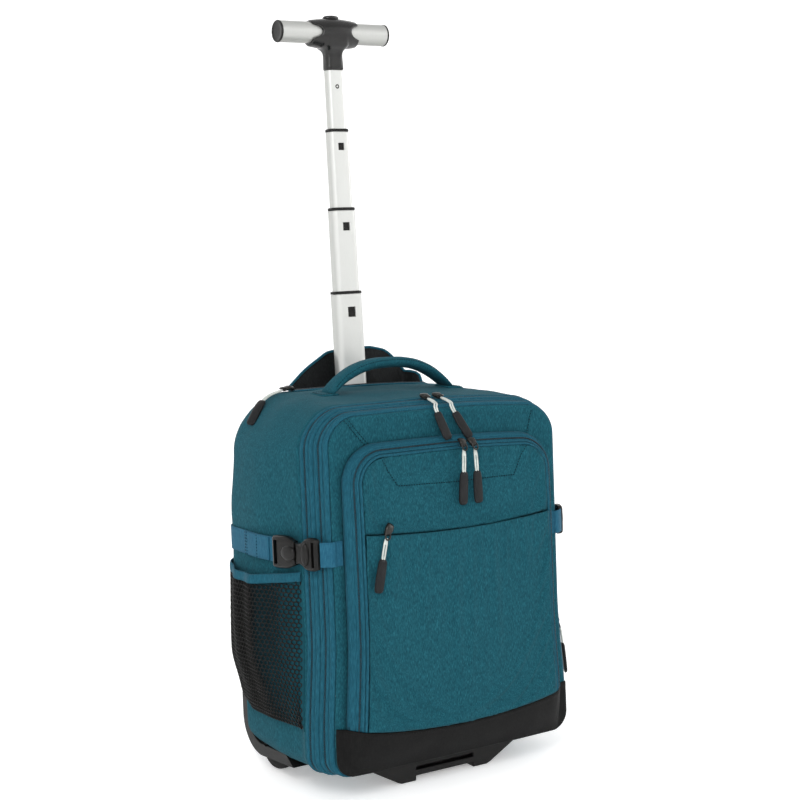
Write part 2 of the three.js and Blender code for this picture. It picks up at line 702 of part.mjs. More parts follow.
// Pole cover: a lined flap that stands up behind the pole; rows are shares of its half width and rise
const flapOutline = [
  { across: -1, rise: 0.1 },
  { across: -0.85, rise: 0.28 },
  { across: -0.5, rise: 0.72 },
  { across: -0.22, rise: 1 },
  { across: 0.1, rise: 1.04 },
  { across: 0.5, rise: 1.08 },
  { across: 0.8, rise: 1 },
  { across: 1, rise: 0.6 },
];
const flapBase = topAt(bagBack) + gap;
const flapY = (u, v) => bagBack + 3.5 + 7 * v - 3 * u * u;
const flapPlace = (deep) => (u, v) => vec(
  u * flapHalfWidth,
  flapY(u, v) + deep,
  flapBase + v * flapRise * readTable(flapOutline, 'across', u).rise,
);
const flapColumns = spread(-1, 1, 12);
add(bag, 'pole_cover_flap', sheet(flapColumns, [0, 0.35, 0.7, 1], flapPlace(clothWall), flapPlace(0)), 'melange');

// Shoulder straps on the back: padded, joined to the back panel at both ends, bowed out between
const shoulderRows = [
  { down: 0, across: 0.3, out: 0 },
  { down: 0.06, across: 0.3, out: 0.35 },
  { down: 0.25, across: 0.34, out: 0.85 },
  { down: 0.5, across: 0.42, out: 1 },
  { down: 0.75, across: 0.56, out: 0.75 },
  { down: 0.94, across: 0.68, out: 0.3 },
  { down: 1, across: 0.71, out: 0 },
];
const shoulderTop = topAt(bagBack) - 26;
const shoulderBottom = bagClearance + 0.17 * bagHeight;
const backFace = bagBack + gap + backPadThickness + gap;
const shoulderLoops = shoulderRows.map(({ down, across, out }, i) => {
  const centre = vec(across * bagHalfWidth, backFace + out * armLoopRise, lerp(shoulderTop, shoulderBottom, down));
  const width = shoulderPadWidth * (i === 0 || i === shoulderRows.length - 1 ? 0.7 : 1);
  const thick = shoulderPadThickness;
  return [[-0.5, 0.2], [-0.5, 0.8], [-0.36, 1], [0.36, 1], [0.5, 0.8], [0.5, 0.2], [0.36, 0], [-0.36, 0]]
    .map(([a, b]) => centre.clone().add(vec(a * width, b * thick, 0)));
});
const shoulderStrap = loft(shoulderLoops);
add(bag, 'shoulder_strap_right', shoulderStrap, 'melange');
add(bag, 'shoulder_strap_left', mirrored(shoulderStrap), 'melange');

// Front foot: two pads joined by a bar, under the boot, cut to the slope of the bag's bottom
const undersideAt = (y) => (bagClearance - pipingProud - gap - y * Math.sin(lean)) / Math.cos(lean);
const footHeight = undersideAt(footFront) + 1;
const footFace = [
  [-footHalfWidth - 40, footHeight], [-footHalfWidth - 38, 21], [-footHalfWidth, 0], [-footNotchHalfWidth, 0],
  [-footNotchHalfWidth, footNotchHeight], [footNotchHalfWidth, footNotchHeight], [footNotchHalfWidth, 0],
  [footHalfWidth, 0], [footHalfWidth + 38, 21], [footHalfWidth + 40, footHeight],
];
const footSide = [
  [footFront, 0], [footFront + footDepth, 0], [footFront + footDepth + 10, undersideAt(footFront + footDepth + 10)],
  [footFront, undersideAt(footFront)],
];
const footSlot = block(2 * footNotchHalfWidth, 16, 5, vec(0, footFront, 15.5));
const foot = cut(common(
  prism(footFace, alongY, footFront - 5, footDepth + 20),
  prism(footSide, alongX, -bagHalfWidth, 2 * bagHalfWidth),
), footSlot);
add(backpack, 'front_foot', foot, 'plastic');

// Pull handle, along its own axis, from the point where it enters the bag's top
const pole = new THREE.Group();
pole.rotation.x = -degrees(poleExtraLean);
pole.position.set(0, poleSetback, topAt(poleSetback));
bag.add(pole);

// Stages from the thinnest down; shown is the length in view, overlap what stays inside the next one
const stages = [
  { name: 'tube_1', shown: 71.4, overlap: 32 },
  { name: 'tube_2', shown: 92.5, overlap: 34, window: { width: 8.3, height: 9, drop: 18 } },
  { name: 'tube_3', shown: 98.9, overlap: 38, window: { width: 9.6, height: 10.3, drop: 19.6 } },
  { name: 'tube_4', shown: 146, overlap: 40, window: { width: 10.8, height: 12.6, drop: 22 } },
];
const stageWidth = (k) => topStageWidth + 2 * k * (poleWall + poleSideClear);
const stageDepth = (k) => topStageDepth + 2 * k * (poleWall + poleClear);

// A pole section: flat faces between rounded shoulders
function poleLoop(width, depth, z) {
  const [rx, ry] = [0.2 * width, 0.38 * depth];
  return [0, 90, 180, 270].flatMap((start) => spread(start, start + 90, 3).map((angle) => {
    const [c, s] = [Math.cos(degrees(angle)), Math.sin(degrees(angle))];
    const [sx, sy] = [start === 0 || start === 270 ? 1 : -1, start < 180 ? 1 : -1];
    return vec(sx * (width / 2 - rx) + rx * c, sy * (depth / 2 - ry) + ry * s, z);
  }));
}
function poleRing(width, depth, wall, low, high) {
  const inner = [width - 2 * wall, depth - 2 * wall];
  return loft([
    poleLoop(width, depth, low), poleLoop(width, depth, high),
    poleLoop(...inner, high), poleLoop(...inner, low),
  ], true);
}

// The sleeve's mouth is the datum; each stage stands its shown length above the one below it
const sleeveTop = -sleeveDrop;
const stageTops = [];
let rest = sleeveTop;
for (const stage of [...stages].reverse()) {
  rest += collarHeight + gap + stage.shown;
  stageTops.unshift(rest);
}
stages.forEach((stage, k) => {
  const [width, depth] = [stageWidth(k), stageDepth(k)];
  const top = stageTops[k];
  const outerTop = k + 1 < stages.length ? stageTops[k + 1] : sleeveTop;
  const low = outerTop - stage.overlap;
  const holes = [];
  if (stage.window) {
    const { width: w, height: h, drop } = stage.window;
    holes.push(block(w, depth, h, vec(0, -depth / 2, top - drop)));
  }
  const outer = stages[k + 1]?.window;
  if (outer) {
    // The lock block sits in a hole of this stage, flush with both faces, behind the next stage's window
    const centre = vec(0, -(depth - poleWall) / 2, outerTop - outer.drop);
    holes.push(block(outer.width, 3 * poleWall, outer.height, centre));
    const lock = block(outer.width - 2 * gap, poleWall, outer.height - 2 * gap, centre);
    add(pole, `lock_${k + 1}`, lock, 'plastic');
  }
  const tube = poleRing(width, depth, poleWall, low, top);
  add(pole, stage.name, holes.length ? cut(tube, ...holes) : tube, 'aluminium');
});

// Mouth collars cap each outer stage and guide the one inside it
function collar(k, top) {
  const [width, depth] = [stageWidth(k) + 2 * collarProud, stageDepth(k) + 2 * collarProud];
  const inner = [stageWidth(k - 1) + 2 * poleClear, stageDepth(k - 1) + 2 * poleClear];
  const [low, high] = [top + gap, top + gap + collarHeight];
  return loft([
    poleLoop(width, depth, low), poleLoop(width, depth, high - 0.6), poleLoop(width - 1, depth - 1, high),
    poleLoop(...inner, high), poleLoop(...inner, low),
  ], true);
}
[1, 2, 3].forEach((k) => add(pole, `collar_${k + 1}`, collar(k, stageTops[k]), 'plastic'));
const sleeveStage = stages.length;
add(pole, 'sleeve_collar', collar(sleeveStage, sleeveTop), 'plastic');

// The sleeve runs down to the bag's floor, where it stands on a closed foot
const floorDepth = poleSetback - (topAt(poleSetback) - bagClearance) * Math.tan(degrees(poleExtraLean));
const floorAt = sectionAt(floorDepth + stageDepth(sleeveStage) / 2).rise * bagHeight + bagClearance + clothWall;
const sleeveLow = -(topAt(poleSetback) - floorAt - 3 * gap) / Math.cos(degrees(poleExtraLean));
const sleeve = poleRing(stageWidth(sleeveStage), stageDepth(sleeveStage), poleWall, sleeveLow, sleeveTop);
const sleeveFoot = loft([
  poleLoop(stageWidth(sleeveStage) + 12, stageDepth(sleeveStage), sleeveLow),
  poleLoop(stageWidth(sleeveStage) + 12, stageDepth(sleeveStage), sleeveLow + 4),
]);
add(pole, 'pole_sleeve', join(sleeve, sleeveFoot), 'aluminium');

// Grip: a straight bar through a moulded hub, with a button in the hub's top
const neckLow = stageTops[0] + gap;
const gripHeight = neckLow + neckHeight;
const gripRadius = gripDiameter / 2;
const atGrip = (body) => body.translate(0, 0, gripHeight);
const bar = turned([
  [gripRadius - gripWall, -gripLength / 2], [gripRadius, -gripLength / 2],
  [gripRadius, gripLength / 2], [gripRadius - gripWall, gripLength / 2],
], 24);
add(pole, 'grip_bar', atGrip(bar), 'aluminium');
const capStart = gripLength / 2 + gap;
const plugRadius = gripRadius - gripWall - gap;
const cap = turned([
  [0.01, capStart - 9], [plugRadius, capStart - 9], [plugRadius, capStart], [gripRadius + 0.4, capStart],
  [gripRadius + 0.4, capStart + 1.4], [gripRadius - 1, capStart + 2.2], [0.01, capStart + 1.6],
], 24);
const capSolid = join(cap, rod(1, 9, 8).translate(capStart - 4, 0, 0));
add(pole, 'grip_cap_right', atGrip(capSolid), 'plastic');
add(pole, 'grip_cap_left', mirrored(capSolid), 'plastic');

// Hub saddle: loops along the bar, rows are shares of hubHalfWidth and of the shell's radius
const saddleRows = [
  { along: -1, radius: 0.83 }, { along: -0.8, radius: 0.9 }, { along: -0.4, radius: 0.98 }, { along: 0, radius: 1 },
  { along: 0.4, radius: 0.98 }, { along: 0.8, radius: 0.9 }, { along: 1, radius: 0.83 },
];
const shellRadius = gripRadius + hubWall;
const saddle = loft(saddleRows.map(({ along, radius }) => spread(0, 345, 23).map((angle) => vec(
  along * hubHalfWidth,
  radius * shellRadius * Math.cos(degrees(angle)),
  radius * shellRadius * Math.sin(degrees(angle)),
))));
const neck = loft([
  { z: -neckHeight, width: 1, depth: 1 }, { z: -0.66 * neckHeight, width: 0.96, depth: 1 },
  { z: -0.46 * neckHeight, width: 1.08, depth: 1.3 }, { z: -0.3 * neckHeight, width: 1.5, depth: 1.7 },
].map(({ z, width, depth }) => poleLoop(width * neckWidth, depth * neckDepth, z)));
const spigot = loft([
  poleLoop(topStageWidth - 2 * (poleWall + gap), topStageDepth - 2 * (poleWall + gap), -neckHeight - 12),
  poleLoop(topStageWidth - 2 * (poleWall + gap), topStageDepth - 2 * (poleWall + gap), -neckHeight + 2),
]);
const hornCut = new THREE.CylinderGeometry(1, 1, 4 * gripDiameter, 20).scale(0.78 * gripDiameter, 1, 0.42 * gripDiameter);
const buttonHole = new THREE.CylinderGeometry(1, 1, gripDiameter, 16).rotateX(Math.PI / 2)
  .scale(0.42 * gripDiameter, 0.3 * gripDiameter, 1).translate(0, 0, gripDiameter);
const hornShift = hubHalfWidth + 0.29 * gripDiameter;
const hub = cut(
  join(saddle, neck, spigot),
  rod(gripRadius + gap, 2 * gripLength, 24),
  hornCut.clone().translate(hornShift, 0, 0),
  hornCut.clone().translate(-hornShift, 0, 0),
  buttonHole,
);
add(pole, 'grip_hub', atGrip(hub), 'plastic');
const buttonLow = gripRadius + gap + buttonTravel + 0.4;
const buttonRise = shellRadius + 3.4 - buttonLow;
const buttonRows = [{ up: 0, size: 1 }, { up: 0.5, size: 1 }, { up: 0.8, size: 0.84 }, { up: 1, size: 0.5 }];
const button = loft(buttonRows.map(({ up: rise, size }) => spread(0, 337.5, 15).map((angle) => vec(
  size * (0.42 * gripDiameter - poleClear) * Math.cos(degrees(angle)),
  size * (0.3 * gripDiameter - poleClear) * Math.sin(degrees(angle)),
  buttonLow + rise * buttonRise,
))));
add(pole, 'grip_button', atGrip(button), 'plastic');

// Zip pulls: a slider, a cord loop and a rubber tab in one piece, laid along a line of stops.
// Each stop says where the line turns (at) and which way the surface under it faces (out).
const sliderLength = 9;
const pullStep = 1.5;
const pullParts = {
  slider: { width: 8, thick: 4 },
  cord: { width: 4.6, thick: 2.4 },
  tab: { width: tabWidth, thick: tabThickness },
  tip: { width: 0.6 * tabWidth, thick: 0.7 * tabThickness },
};
function pull(stops) {
  const marks = [0];
  for (let i = 1; i < stops.length; i += 1) marks.push(marks[i - 1] + stops[i].at.distanceTo(stops[i - 1].at));
  const total = marks.at(-1);
  const along = (distance) => {
    let i = 0;
    while (i < stops.length - 2 && distance > marks[i + 1]) i += 1;
    const share = (distance - marks[i]) / (marks[i + 1] - marks[i]);
    const [a, b] = [stops[i], stops[i + 1]];
    return { at: a.at.clone().lerp(b.at, share), out: a.out.clone().lerp(b.out, share) };
  };
  const tabStart = total - tabLength;
  const turns = marks.slice(1, -1).filter((mark) => mark > sliderLength + pullStep + 1 && mark < tabStart - pullStep - 1);
  const rows = [
    [0, 'slider'], [sliderLength, 'slider'], [sliderLength + pullStep, 'cord'],
    ...turns.map((mark) => [mark, 'cord']),
    [tabStart - pullStep, 'cord'], [tabStart, 'tab'], [total - pullStep, 'tab'], [total, 'tip'],
  ];
  return loft(rows.map(([distance, part]) => {
    const { at, out } = along(distance);
    const reach = Math.min(2, total / 20);
    const before = along(Math.max(distance - reach, 0)).at;
    const heading = along(Math.min(distance + reach, total)).at.sub(before).normalize();
    const side = heading.clone().cross(out).normalize();
    const lift = side.clone().cross(heading).normalize();
    const { width, thick } = pullParts[part];
    return [[-0.5, 0.15], [-0.5, 0.7], [-0.3, 1], [0.3, 1], [0.5, 0.7], [0.5, 0.15], [0.3, 0], [-0.3, 0]]
      .map(([a, b]) => at.clone().addScaledVector(side, a * width).addScaledVector(lift, b * thick));
  }));
}
const forwards = vec(0, -1, 0);

// A pull hanging down the pocket's face from a slider on its zip; at is the slider's place
function facePull(x, z, drift, lift) {
  const under = (a, b) => pocketY(a, b, lift + (b < slitAt(a) ? lowerPanelStep : 0));
  const places = [[x, z], [x + 0.3 * drift, z - 12], [x + drift, z - pullDrop - tabLength]];
  const front = Math.min(...places.map(([a, b]) => under(a, b)), under(x, z - pullDrop));
  const seat = under(x, z - sliderLength) + gap;
  return pull(places.map(([a, b], i) => ({ at: vec(a, i ? front : seat, b), out: forwards })));
}
const pocketZip = pocketTop - bandInset / 2;
const slitPullX = -0.76 * pocketHalfWidth;
add(bag, 'pull_pocket_1', facePull(1, pocketZip, -6, pipingProud - 3 * gap), 'rubber');
add(bag, 'pull_pocket_2', facePull(14, pocketZip, 3, pipingProud - 3 * gap), 'rubber');
add(bag, 'pull_slit', facePull(slitPullX, slitAt(slitPullX) + 7, -16, -gap), 'rubber');

// The main zip's pulls start on top and lie over the front edge onto the pocket's upper edge
const mainZipY = sideFront - 0.5 * bandStack[0].share * stackDepth;
function overEdge(x, bendX, endX) {
  const endZ = topAt(groove) - mainPullReach;
  return pull([
    { at: vec(x, mainZipY, topAt(mainZipY) + pipingProud + 2 * gap), out: vec(0, 0, 1) },
    { at: vec(lerp(x, bendX, 0.6), groove, topAt(groove) + pipingProud + 5 * gap), out: vec(0, -0.4, 1) },
    { at: vec(bendX, panelFront - 3, topAt(groove) - 3), out: vec(0, -1, 0.3) },
    { at: vec(endX, pocketY(endX, endZ, gap + 1), endZ), out: vec(0, -1, 0) },
  ]);
}
add(bag, 'pull_main_1', overEdge(-9, -20, -6), 'rubber');
add(bag, 'pull_main_2', overEdge(8, 2, 24), 'rubber');

// The pole cover's pull lies round the bag's left shoulder
const coverPullY = mouthFront - 6;
const shoulder = {
  x: -halfAt(coverPullY) + sectionAt(coverPullY).corner * topCorner,
  z: topAt(coverPullY) - sectionAt(coverPullY).corner * topCorner,
  radius: sectionAt(coverPullY).corner * topCorner + 4 * gap,
};
const onShoulder = (angle, drift, lift) => ({
  at: vec(
    shoulder.x + (shoulder.radius + lift) * Math.cos(degrees(angle)),
    coverPullY - drift,
    shoulder.z + (shoulder.radius + lift) * Math.sin(degrees(angle)),
  ),
  out: vec(Math.cos(degrees(angle)), 0, Math.sin(degrees(angle))),
});
add(bag, 'pull_cover', pull([
  { at: vec(shoulder.x + 10, coverPullY, shoulder.z + shoulder.radius), out: up.clone() },
  onShoulder(90, 2, 0),
  onShoulder(115, 6, 2),
  onShoulder(143, 14, 2.4),
]), 'rubber');

// The main zip's other end: its pull hangs down the right side
const sideNormal = vec(stackDepth, -(halfAt(sideFront) - halfAt(groove)), 0).normalize();
const sidePullStops = [
  { down: 0, lift: 0 }, { down: sliderLength + 4, lift: 0 },
  { down: 0.6 * pullDrop, lift: 2 }, { down: pullDrop + tabLength, lift: 2 },
];
add(bag, 'pull_side', pull(sidePullStops.map(({ down, lift }) => ({
  at: vec(halfAt(mainZipY), mainZipY, 0.6 * sidePocketTop - down).addScaledVector(sideNormal, lift),
  out: sideNormal,
}))), 'rubber');

// The origin is the middle of the footprint, on the floor
backpack.updateMatrixWorld(true);
const bounds = new THREE.Box3().setFromObject(backpack, true);
backpack.position.set(-(bounds.min.x + bounds.max.x) / 2, -(bounds.min.y + bounds.max.y) / 2, -bounds.min.z);
backpack.updateMatrixWorld(true);

export default backpack;
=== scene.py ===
import math

import bmesh
import bpy
import numpy as np
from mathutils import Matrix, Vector, noise


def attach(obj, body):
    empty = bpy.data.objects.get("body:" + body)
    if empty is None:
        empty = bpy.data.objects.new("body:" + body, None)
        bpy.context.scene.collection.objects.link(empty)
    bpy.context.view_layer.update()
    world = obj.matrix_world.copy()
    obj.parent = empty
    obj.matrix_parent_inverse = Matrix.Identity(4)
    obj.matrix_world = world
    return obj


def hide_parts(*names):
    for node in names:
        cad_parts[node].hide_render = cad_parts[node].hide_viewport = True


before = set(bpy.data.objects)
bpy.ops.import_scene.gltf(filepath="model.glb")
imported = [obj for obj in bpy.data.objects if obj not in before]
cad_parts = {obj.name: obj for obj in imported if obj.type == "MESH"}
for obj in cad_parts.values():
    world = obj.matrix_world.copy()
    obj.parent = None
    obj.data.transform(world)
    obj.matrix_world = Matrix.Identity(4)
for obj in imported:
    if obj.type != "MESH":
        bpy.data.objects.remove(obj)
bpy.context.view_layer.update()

# Camera: it stands a little above the bag's top, to the front and left, as the photograph was taken
# with a long lens.
lens = bpy.data.cameras.new("photo_lens")
lens.lens, lens.sensor_width = 77.63, 36
camera = bpy.data.objects.new("camera", lens)
camera.location = (-1.1256, -1.6962, 0.7236)
camera.rotation_euler = (math.radians(81.859), 0, math.radians(-33.69))
bpy.context.scene.collection.objects.link(camera)
bpy.context.scene.camera = camera

# Main gusset: the ring of heathered polyester that makes the sides, top and bottom of the bag. It is
# cut from one long strip, sewn to the back and to the zip tape, and bulges between those seams.
LEAN = math.radians(3.89)
FOOTPRINT_SHIFT = 19.0958
GAP, CLOTH = 0.3, 2.0
BAG_BACK, BAG_DEPTH, BAG_HALF, BAG_HEIGHT, BAG_CLEAR = 104, 212, 176.5, 426, 26
TOP_CORNER, BOTTOM_CORNER = 75, 22
SIDE_FRONT, GROOVE = BAG_BACK - 0.81 * BAG_DEPTH, BAG_BACK - BAG_DEPTH
STRAP_HEIGHT, HOUSING_TOP = 279, 88
TOP_SAG, RIGHT_SAG, BACK_SPREAD, FOOT_SPREAD = 4, 9, 7, 0.045
# depths of the front edges as sewn, and where the filling moves them to
SEWN_DEPTHS, FILLED_DEPTHS = [-400, -147.3, -110.3, -67.7, -30, 400], [-391, -138.3, -109.5, -73.5, -30, 400]
POLE_SETBACK, MOUTH_FRONT, MOUTH_HALF = 90.4, 76.4, 85

# place along the depth, half width, rise of the bottom, drop of the top, corner: shares of the sizes
BODY_ROWS = np.array([
    [0, 0.85, 0.07, 0.035, 0.8], [0.04, 0.93, 0.034, 0.012, 0.92], [0.12, 0.975, 0.01, 0.002, 1],
    [0.49, 1, 0, 0.008, 0.88], [0.81, 0.985, 0, 0.02, 0.7], [1, 0.89, 0, 0.042, 0.5],
])
FINE_PLACES = np.linspace(0, 1, 201)
EASE = np.hanning(21) / np.hanning(21).sum()


def eased(column):
    rows = np.interp(FINE_PLACES, BODY_ROWS[:, 0], BODY_ROWS[:, column])
    return np.convolve(np.pad(rows, 10, mode="reflect", reflect_type="odd"), EASE, "valid")


FINE_ROWS = [eased(column) for column in (1, 2, 3, 4)]


def body_row(y):
    place = (BAG_BACK - np.asarray(y, float)) / BAG_DEPTH
    return [np.interp(place, FINE_PLACES, column) for column in FINE_ROWS]


def half_at(y):
    return body_row(y)[0] * BAG_HALF


def top_at(y):
    return BAG_CLEAR + (1 - body_row(y)[2]) * BAG_HEIGHT


def eased_step(value, start, end):
    share = np.clip((np.asarray(value, float) - start) / (end - start), 0, 1)
    return share * share * (3 - 2 * share)


def slumped(points):
    """How the filled bag settles: its top sags to the right, its back corners and its foot spread."""
    p = np.array(points, float)
    x, y, z = p[..., 0].copy(), p[..., 1].copy(), p[..., 2].copy()
    at_middle = eased_step(z, 100, 150) * (1 - eased_step(z, 300, 380))
    at_back = eased_step(y, -60, 20) * eased_step(abs(x), 90, 165)
    at_foot = (1 - eased_step(z, 60, 190)) * (1 - eased_step(y, -72, -50))
    to_the_right = np.clip((x + 20) / 165, 0, 1) ** 2 * eased_step(z, 270, 410)
    p[..., 0] += np.sign(x) * BACK_SPREAD * at_middle * at_back + FOOT_SPREAD * x * at_foot
    p[..., 1] = np.interp(y, SEWN_DEPTHS, FILLED_DEPTHS)
    p[..., 2] -= TOP_SAG * eased_step(z, 380, 430) + RIGHT_SAG * to_the_right
    return p


def leaned(points):
    """Millimetres in the leaning bag's own frame to the model's metres."""
    p = np.asarray(points, float)
    y = p[..., 1] * math.cos(LEAN) + p[..., 2] * math.sin(LEAN) - FOOTPRINT_SHIFT
    z = p[..., 2] * math.cos(LEAN) - p[..., 1] * math.sin(LEAN)
    return np.stack([p[..., 0], y, z], -1) / 1000


def on_bag(points):
    return leaned(slumped(points))


def side_swell(y, z):
    """How far the stuffed side stands out between its seams; the strap holds it in."""
    along = np.clip((BAG_BACK - y) / (BAG_BACK - SIDE_FRONT), 0, 1)
    up = np.clip((z - HOUSING_TOP) / (BAG_HEIGHT + BAG_CLEAR - HOUSING_TOP), 0, 1)
    pinch = 1 - 0.8 * np.exp(-((z - STRAP_HEIGHT) / 34) ** 2)
    return 6.0 * np.sin(np.pi * along) ** 0.7 * np.sin(np.pi * up) ** 0.6 * pinch


def arc(cx, cz, radius, start, stop, count):
    angles = np.radians(np.linspace(start, stop, count, endpoint=False))
    return np.stack([cx + radius * np.cos(angles), cz + radius * np.sin(angles)], 1)


def full_turn(count):
    return np.linspace(0, 2 * math.pi, count, endpoint=False)


def line(x0, z0, x1, z1, count):
    share = np.linspace(0, 1, count, endpoint=False)[:, None]
    return np.array([x0, z0]) * (1 - share) + np.array([x1, z1]) * share


def body_outline(y, proud=0.0):
    """The bag's rounded outline at one depth, from the middle of its bottom round to the right."""
    half, rise, drop, corner = body_row(y)
    half = half * BAG_HALF + proud
    low, high = BAG_CLEAR + rise * BAG_HEIGHT - proud, BAG_CLEAR + (1 - drop) * BAG_HEIGHT + proud
    big, small = max(corner * TOP_CORNER + proud, GAP), max(BOTTOM_CORNER + proud, GAP)
    right = np.concatenate([
        line(0, low, half - small, low, 12), arc(half - small, low + small, small, -90, 0, 8),
        line(half, low + small, half, high - big, 44), arc(half - big, high - big, big, 0, 90, 18),
        line(half - big, high, 0, high, 16), [[0, high]],
    ])
    both = np.concatenate([right, right[-2:0:-1] * [-1, 1]])
    return np.stack([both[:, 0], np.full(len(both), float(y)), both[:, 1]], 1)


def lumps(points, size, seed):
    """Smooth noise between -1 and 1 at each point, with bumps about that many millimetres wide."""
    flat = np.asarray(points).reshape(-1, 3) / size + seed * 17.3
    return np.array([noise.noise(p) for p in flat]).reshape(np.asarray(points).shape[:-1])


def quads(rows, columns, wrap=False):
    return [
        (r * columns + c, r * columns + (c + 1) % columns,
         (r + 1) * columns + (c + 1) % columns, (r + 1) * columns + c)
        for r in range(rows - 1) for c in range(columns if wrap else columns - 1)
    ]


def make(name, points, faces, finish, inside=None, smooth=True):
    """A mesh piece from metre points. An open sheet turns its faces away from the point inside."""
    mesh = bpy.data.meshes.new(name)
    mesh.from_pydata(np.asarray(points).reshape(-1, 3).tolist(), [], faces)
    work = bmesh.new()
    work.from_mesh(mesh)
    bmesh.ops.remove_doubles(work, verts=work.verts, dist=1e-6)
    if inside is None:
        bmesh.ops.recalc_face_normals(work, faces=work.faces)
        if work.calc_volume(signed=True) < 0:
            bmesh.ops.reverse_faces(work, faces=work.faces)
    elif sum((f.calc_center_median() - Vector(inside)).dot(f.normal) * f.calc_area() for f in work.faces) < 0:
        bmesh.ops.reverse_faces(work, faces=work.faces)
    for face in work.faces:
        face.smooth = smooth
    work.to_mesh(mesh)
    work.free()
    mesh.materials.append(finish)
    made = bpy.data.objects.new(name, mesh)
    bpy.context.scene.collection.objects.link(made)
    return made


def settle_modifiers(made):
    """Turns what the modifiers make into the piece's own plain mesh."""
    bpy.context.view_layer.update()
    plain = bpy.data.meshes.new_from_object(made.evaluated_get(bpy.context.evaluated_depsgraph_get()))
    made.modifiers.clear()
    made.data = plain
    return made


def thicken(made, wall, offset=-1):
    shell = made.modifiers.new("wall", "SOLIDIFY")
    shell.thickness, shell.offset, shell.use_even_offset = wall / 1000, offset, True
    return made


def colour(code):
    parts = [int(code[i:i + 2], 16) / 255 for i in (0, 2, 4)]
    return tuple(p / 12.92 if p <= 0.04045 else ((p + 0.055) / 1.055) ** 2.4 for p in parts) + (1,)


def new_group(name, inputs, outputs):
    group = bpy.data.node_groups.new(name, "ShaderNodeTree")
    for label, kind, value in inputs:
        group.interface.new_socket(label, in_out="INPUT", socket_type=kind).default_value = value
    for label, kind in outputs:
        group.interface.new_socket(label, in_out="OUTPUT", socket_type=kind)
    return group, group.nodes.new("NodeGroupInput"), group.nodes.new("NodeGroupOutput")


def streak_noise(tree, coords, scale, stretch, detail=2.0):
    mapping = tree.nodes.new("ShaderNodeMapping")
    mapping.inputs["Scale"].default_value = stretch
    field = tree.nodes.new("ShaderNodeTexNoise")
    field.inputs["Detail"].default_value = detail
    field.inputs["Scale"].default_value = scale
    tree.links.new(coords, mapping.inputs["Vector"])
    tree.links.new(mapping.outputs["Vector"], field.inputs["Vector"])
    return field


def math_node(tree, kind, *values):
    node = tree.nodes.new("ShaderNodeMath")
    node.operation = kind
    for socket, value in zip(node.inputs, values):
        if isinstance(value, (int, float)):
            socket.default_value = value
        else:
            tree.links.new(value, socket)
    return node.outputs[0]


def build_weave_group():
    """Heathered plain weave: crossing upright and level threads, some dark and some light."""
    group, entry, leave = new_group(
        "heather_weave", [("Thread Scale", "NodeSocketFloat", 420.0), ("Contrast", "NodeSocketFloat", 1.0)],
        [("Tone", "NodeSocketFloat"), ("Height", "NodeSocketFloat")])
    where = group.nodes.new("ShaderNodeTexCoord").outputs["Object"]
    fields = [streak_noise(group, where, 1, stretch)
              for stretch in ((0.6, 0.6, 0.08), (0.3, 0.3, 1.3), (0.1, 0.1, 0.1))]
    for field in fields:
        group.links.new(entry.outputs["Thread Scale"], field.inputs["Scale"])
    upright, level, cloudy = [field.outputs["Fac"] for field in fields]
    mixed = math_node(group, "ADD", math_node(group, "MULTIPLY", upright, 0.66),
                      math_node(group, "MULTIPLY", level, 0.22))
    mixed = math_node(group, "ADD", mixed, math_node(group, "MULTIPLY", cloudy, 0.12))
    spread = math_node(group, "MULTIPLY", math_node(group, "SUBTRACT", mixed, 0.5),
                       math_node(group, "MULTIPLY", entry.outputs["Contrast"], 3.2))
    group.links.new(math_node(group, "ADD", spread, 0.5), leave.inputs["Tone"])
    group.links.new(math_node(group, "MAXIMUM", upright, level), leave.inputs["Height"])
    return group


heather_weave = build_weave_group()


def new_finish(name, roughness, metallic=0.0, **extra):
    finish = bpy.data.materials.new(name)
    finish.use_nodes = True
    shader = finish.node_tree.nodes["Principled BSDF"]
    shader.inputs["Roughness"].default_value = roughness
    shader.inputs["Metallic"].default_value = metallic
    for label, value in extra.items():
        shader.inputs[label.replace("_", " ")].default_value = value
    return finish, finish.node_tree, shader


def ramp(tree, factor, *stops):
    node = tree.nodes.new("ShaderNodeValToRGB")
    while len(node.color_ramp.elements) < len(stops):
        node.color_ramp.elements.new(0.5)
    for element, (place, code) in zip(node.color_ramp.elements, stops):
        element.position, element.color = place, colour(code)
    tree.links.new(factor, node.inputs["Fac"])
    return node.outputs["Color"]


def bump(tree, shader, height, distance, strength=1.0):
    node = tree.nodes.new("ShaderNodeBump")
    node.inputs["Distance"].default_value = distance
    node.inputs["Strength"].default_value = strength
    tree.links.new(height, node.inputs["Height"])
    tree.links.new(node.outputs["Normal"], shader.inputs["Normal"])


def woven_finish(name, dark, middle, light, scale, relief, roughness=0.95, sheen=0.02):
    finish, tree, shader = new_finish(name, roughness, Sheen_Weight=sheen, Sheen_Roughness=0.4,
                                      Specular_IOR_Level=0.1)
    weave = tree.nodes.new("ShaderNodeGroup")
    weave.node_tree = heather_weave
    weave.inputs["Thread Scale"].default_value = scale
    weave.inputs["Contrast"].default_value = 0.5
    tree.links.new(ramp(tree, weave.outputs["Tone"], (0.12, dark), (0.5, middle), (0.88, light)),
                   shader.inputs["Base Color"])
    bump(tree, shader, weave.outputs["Height"], relief)
    return finish


heather_cloth = woven_finish("heather_cloth", "09262f", "144551", "296873", scale=2900.0, relief=0.00005)

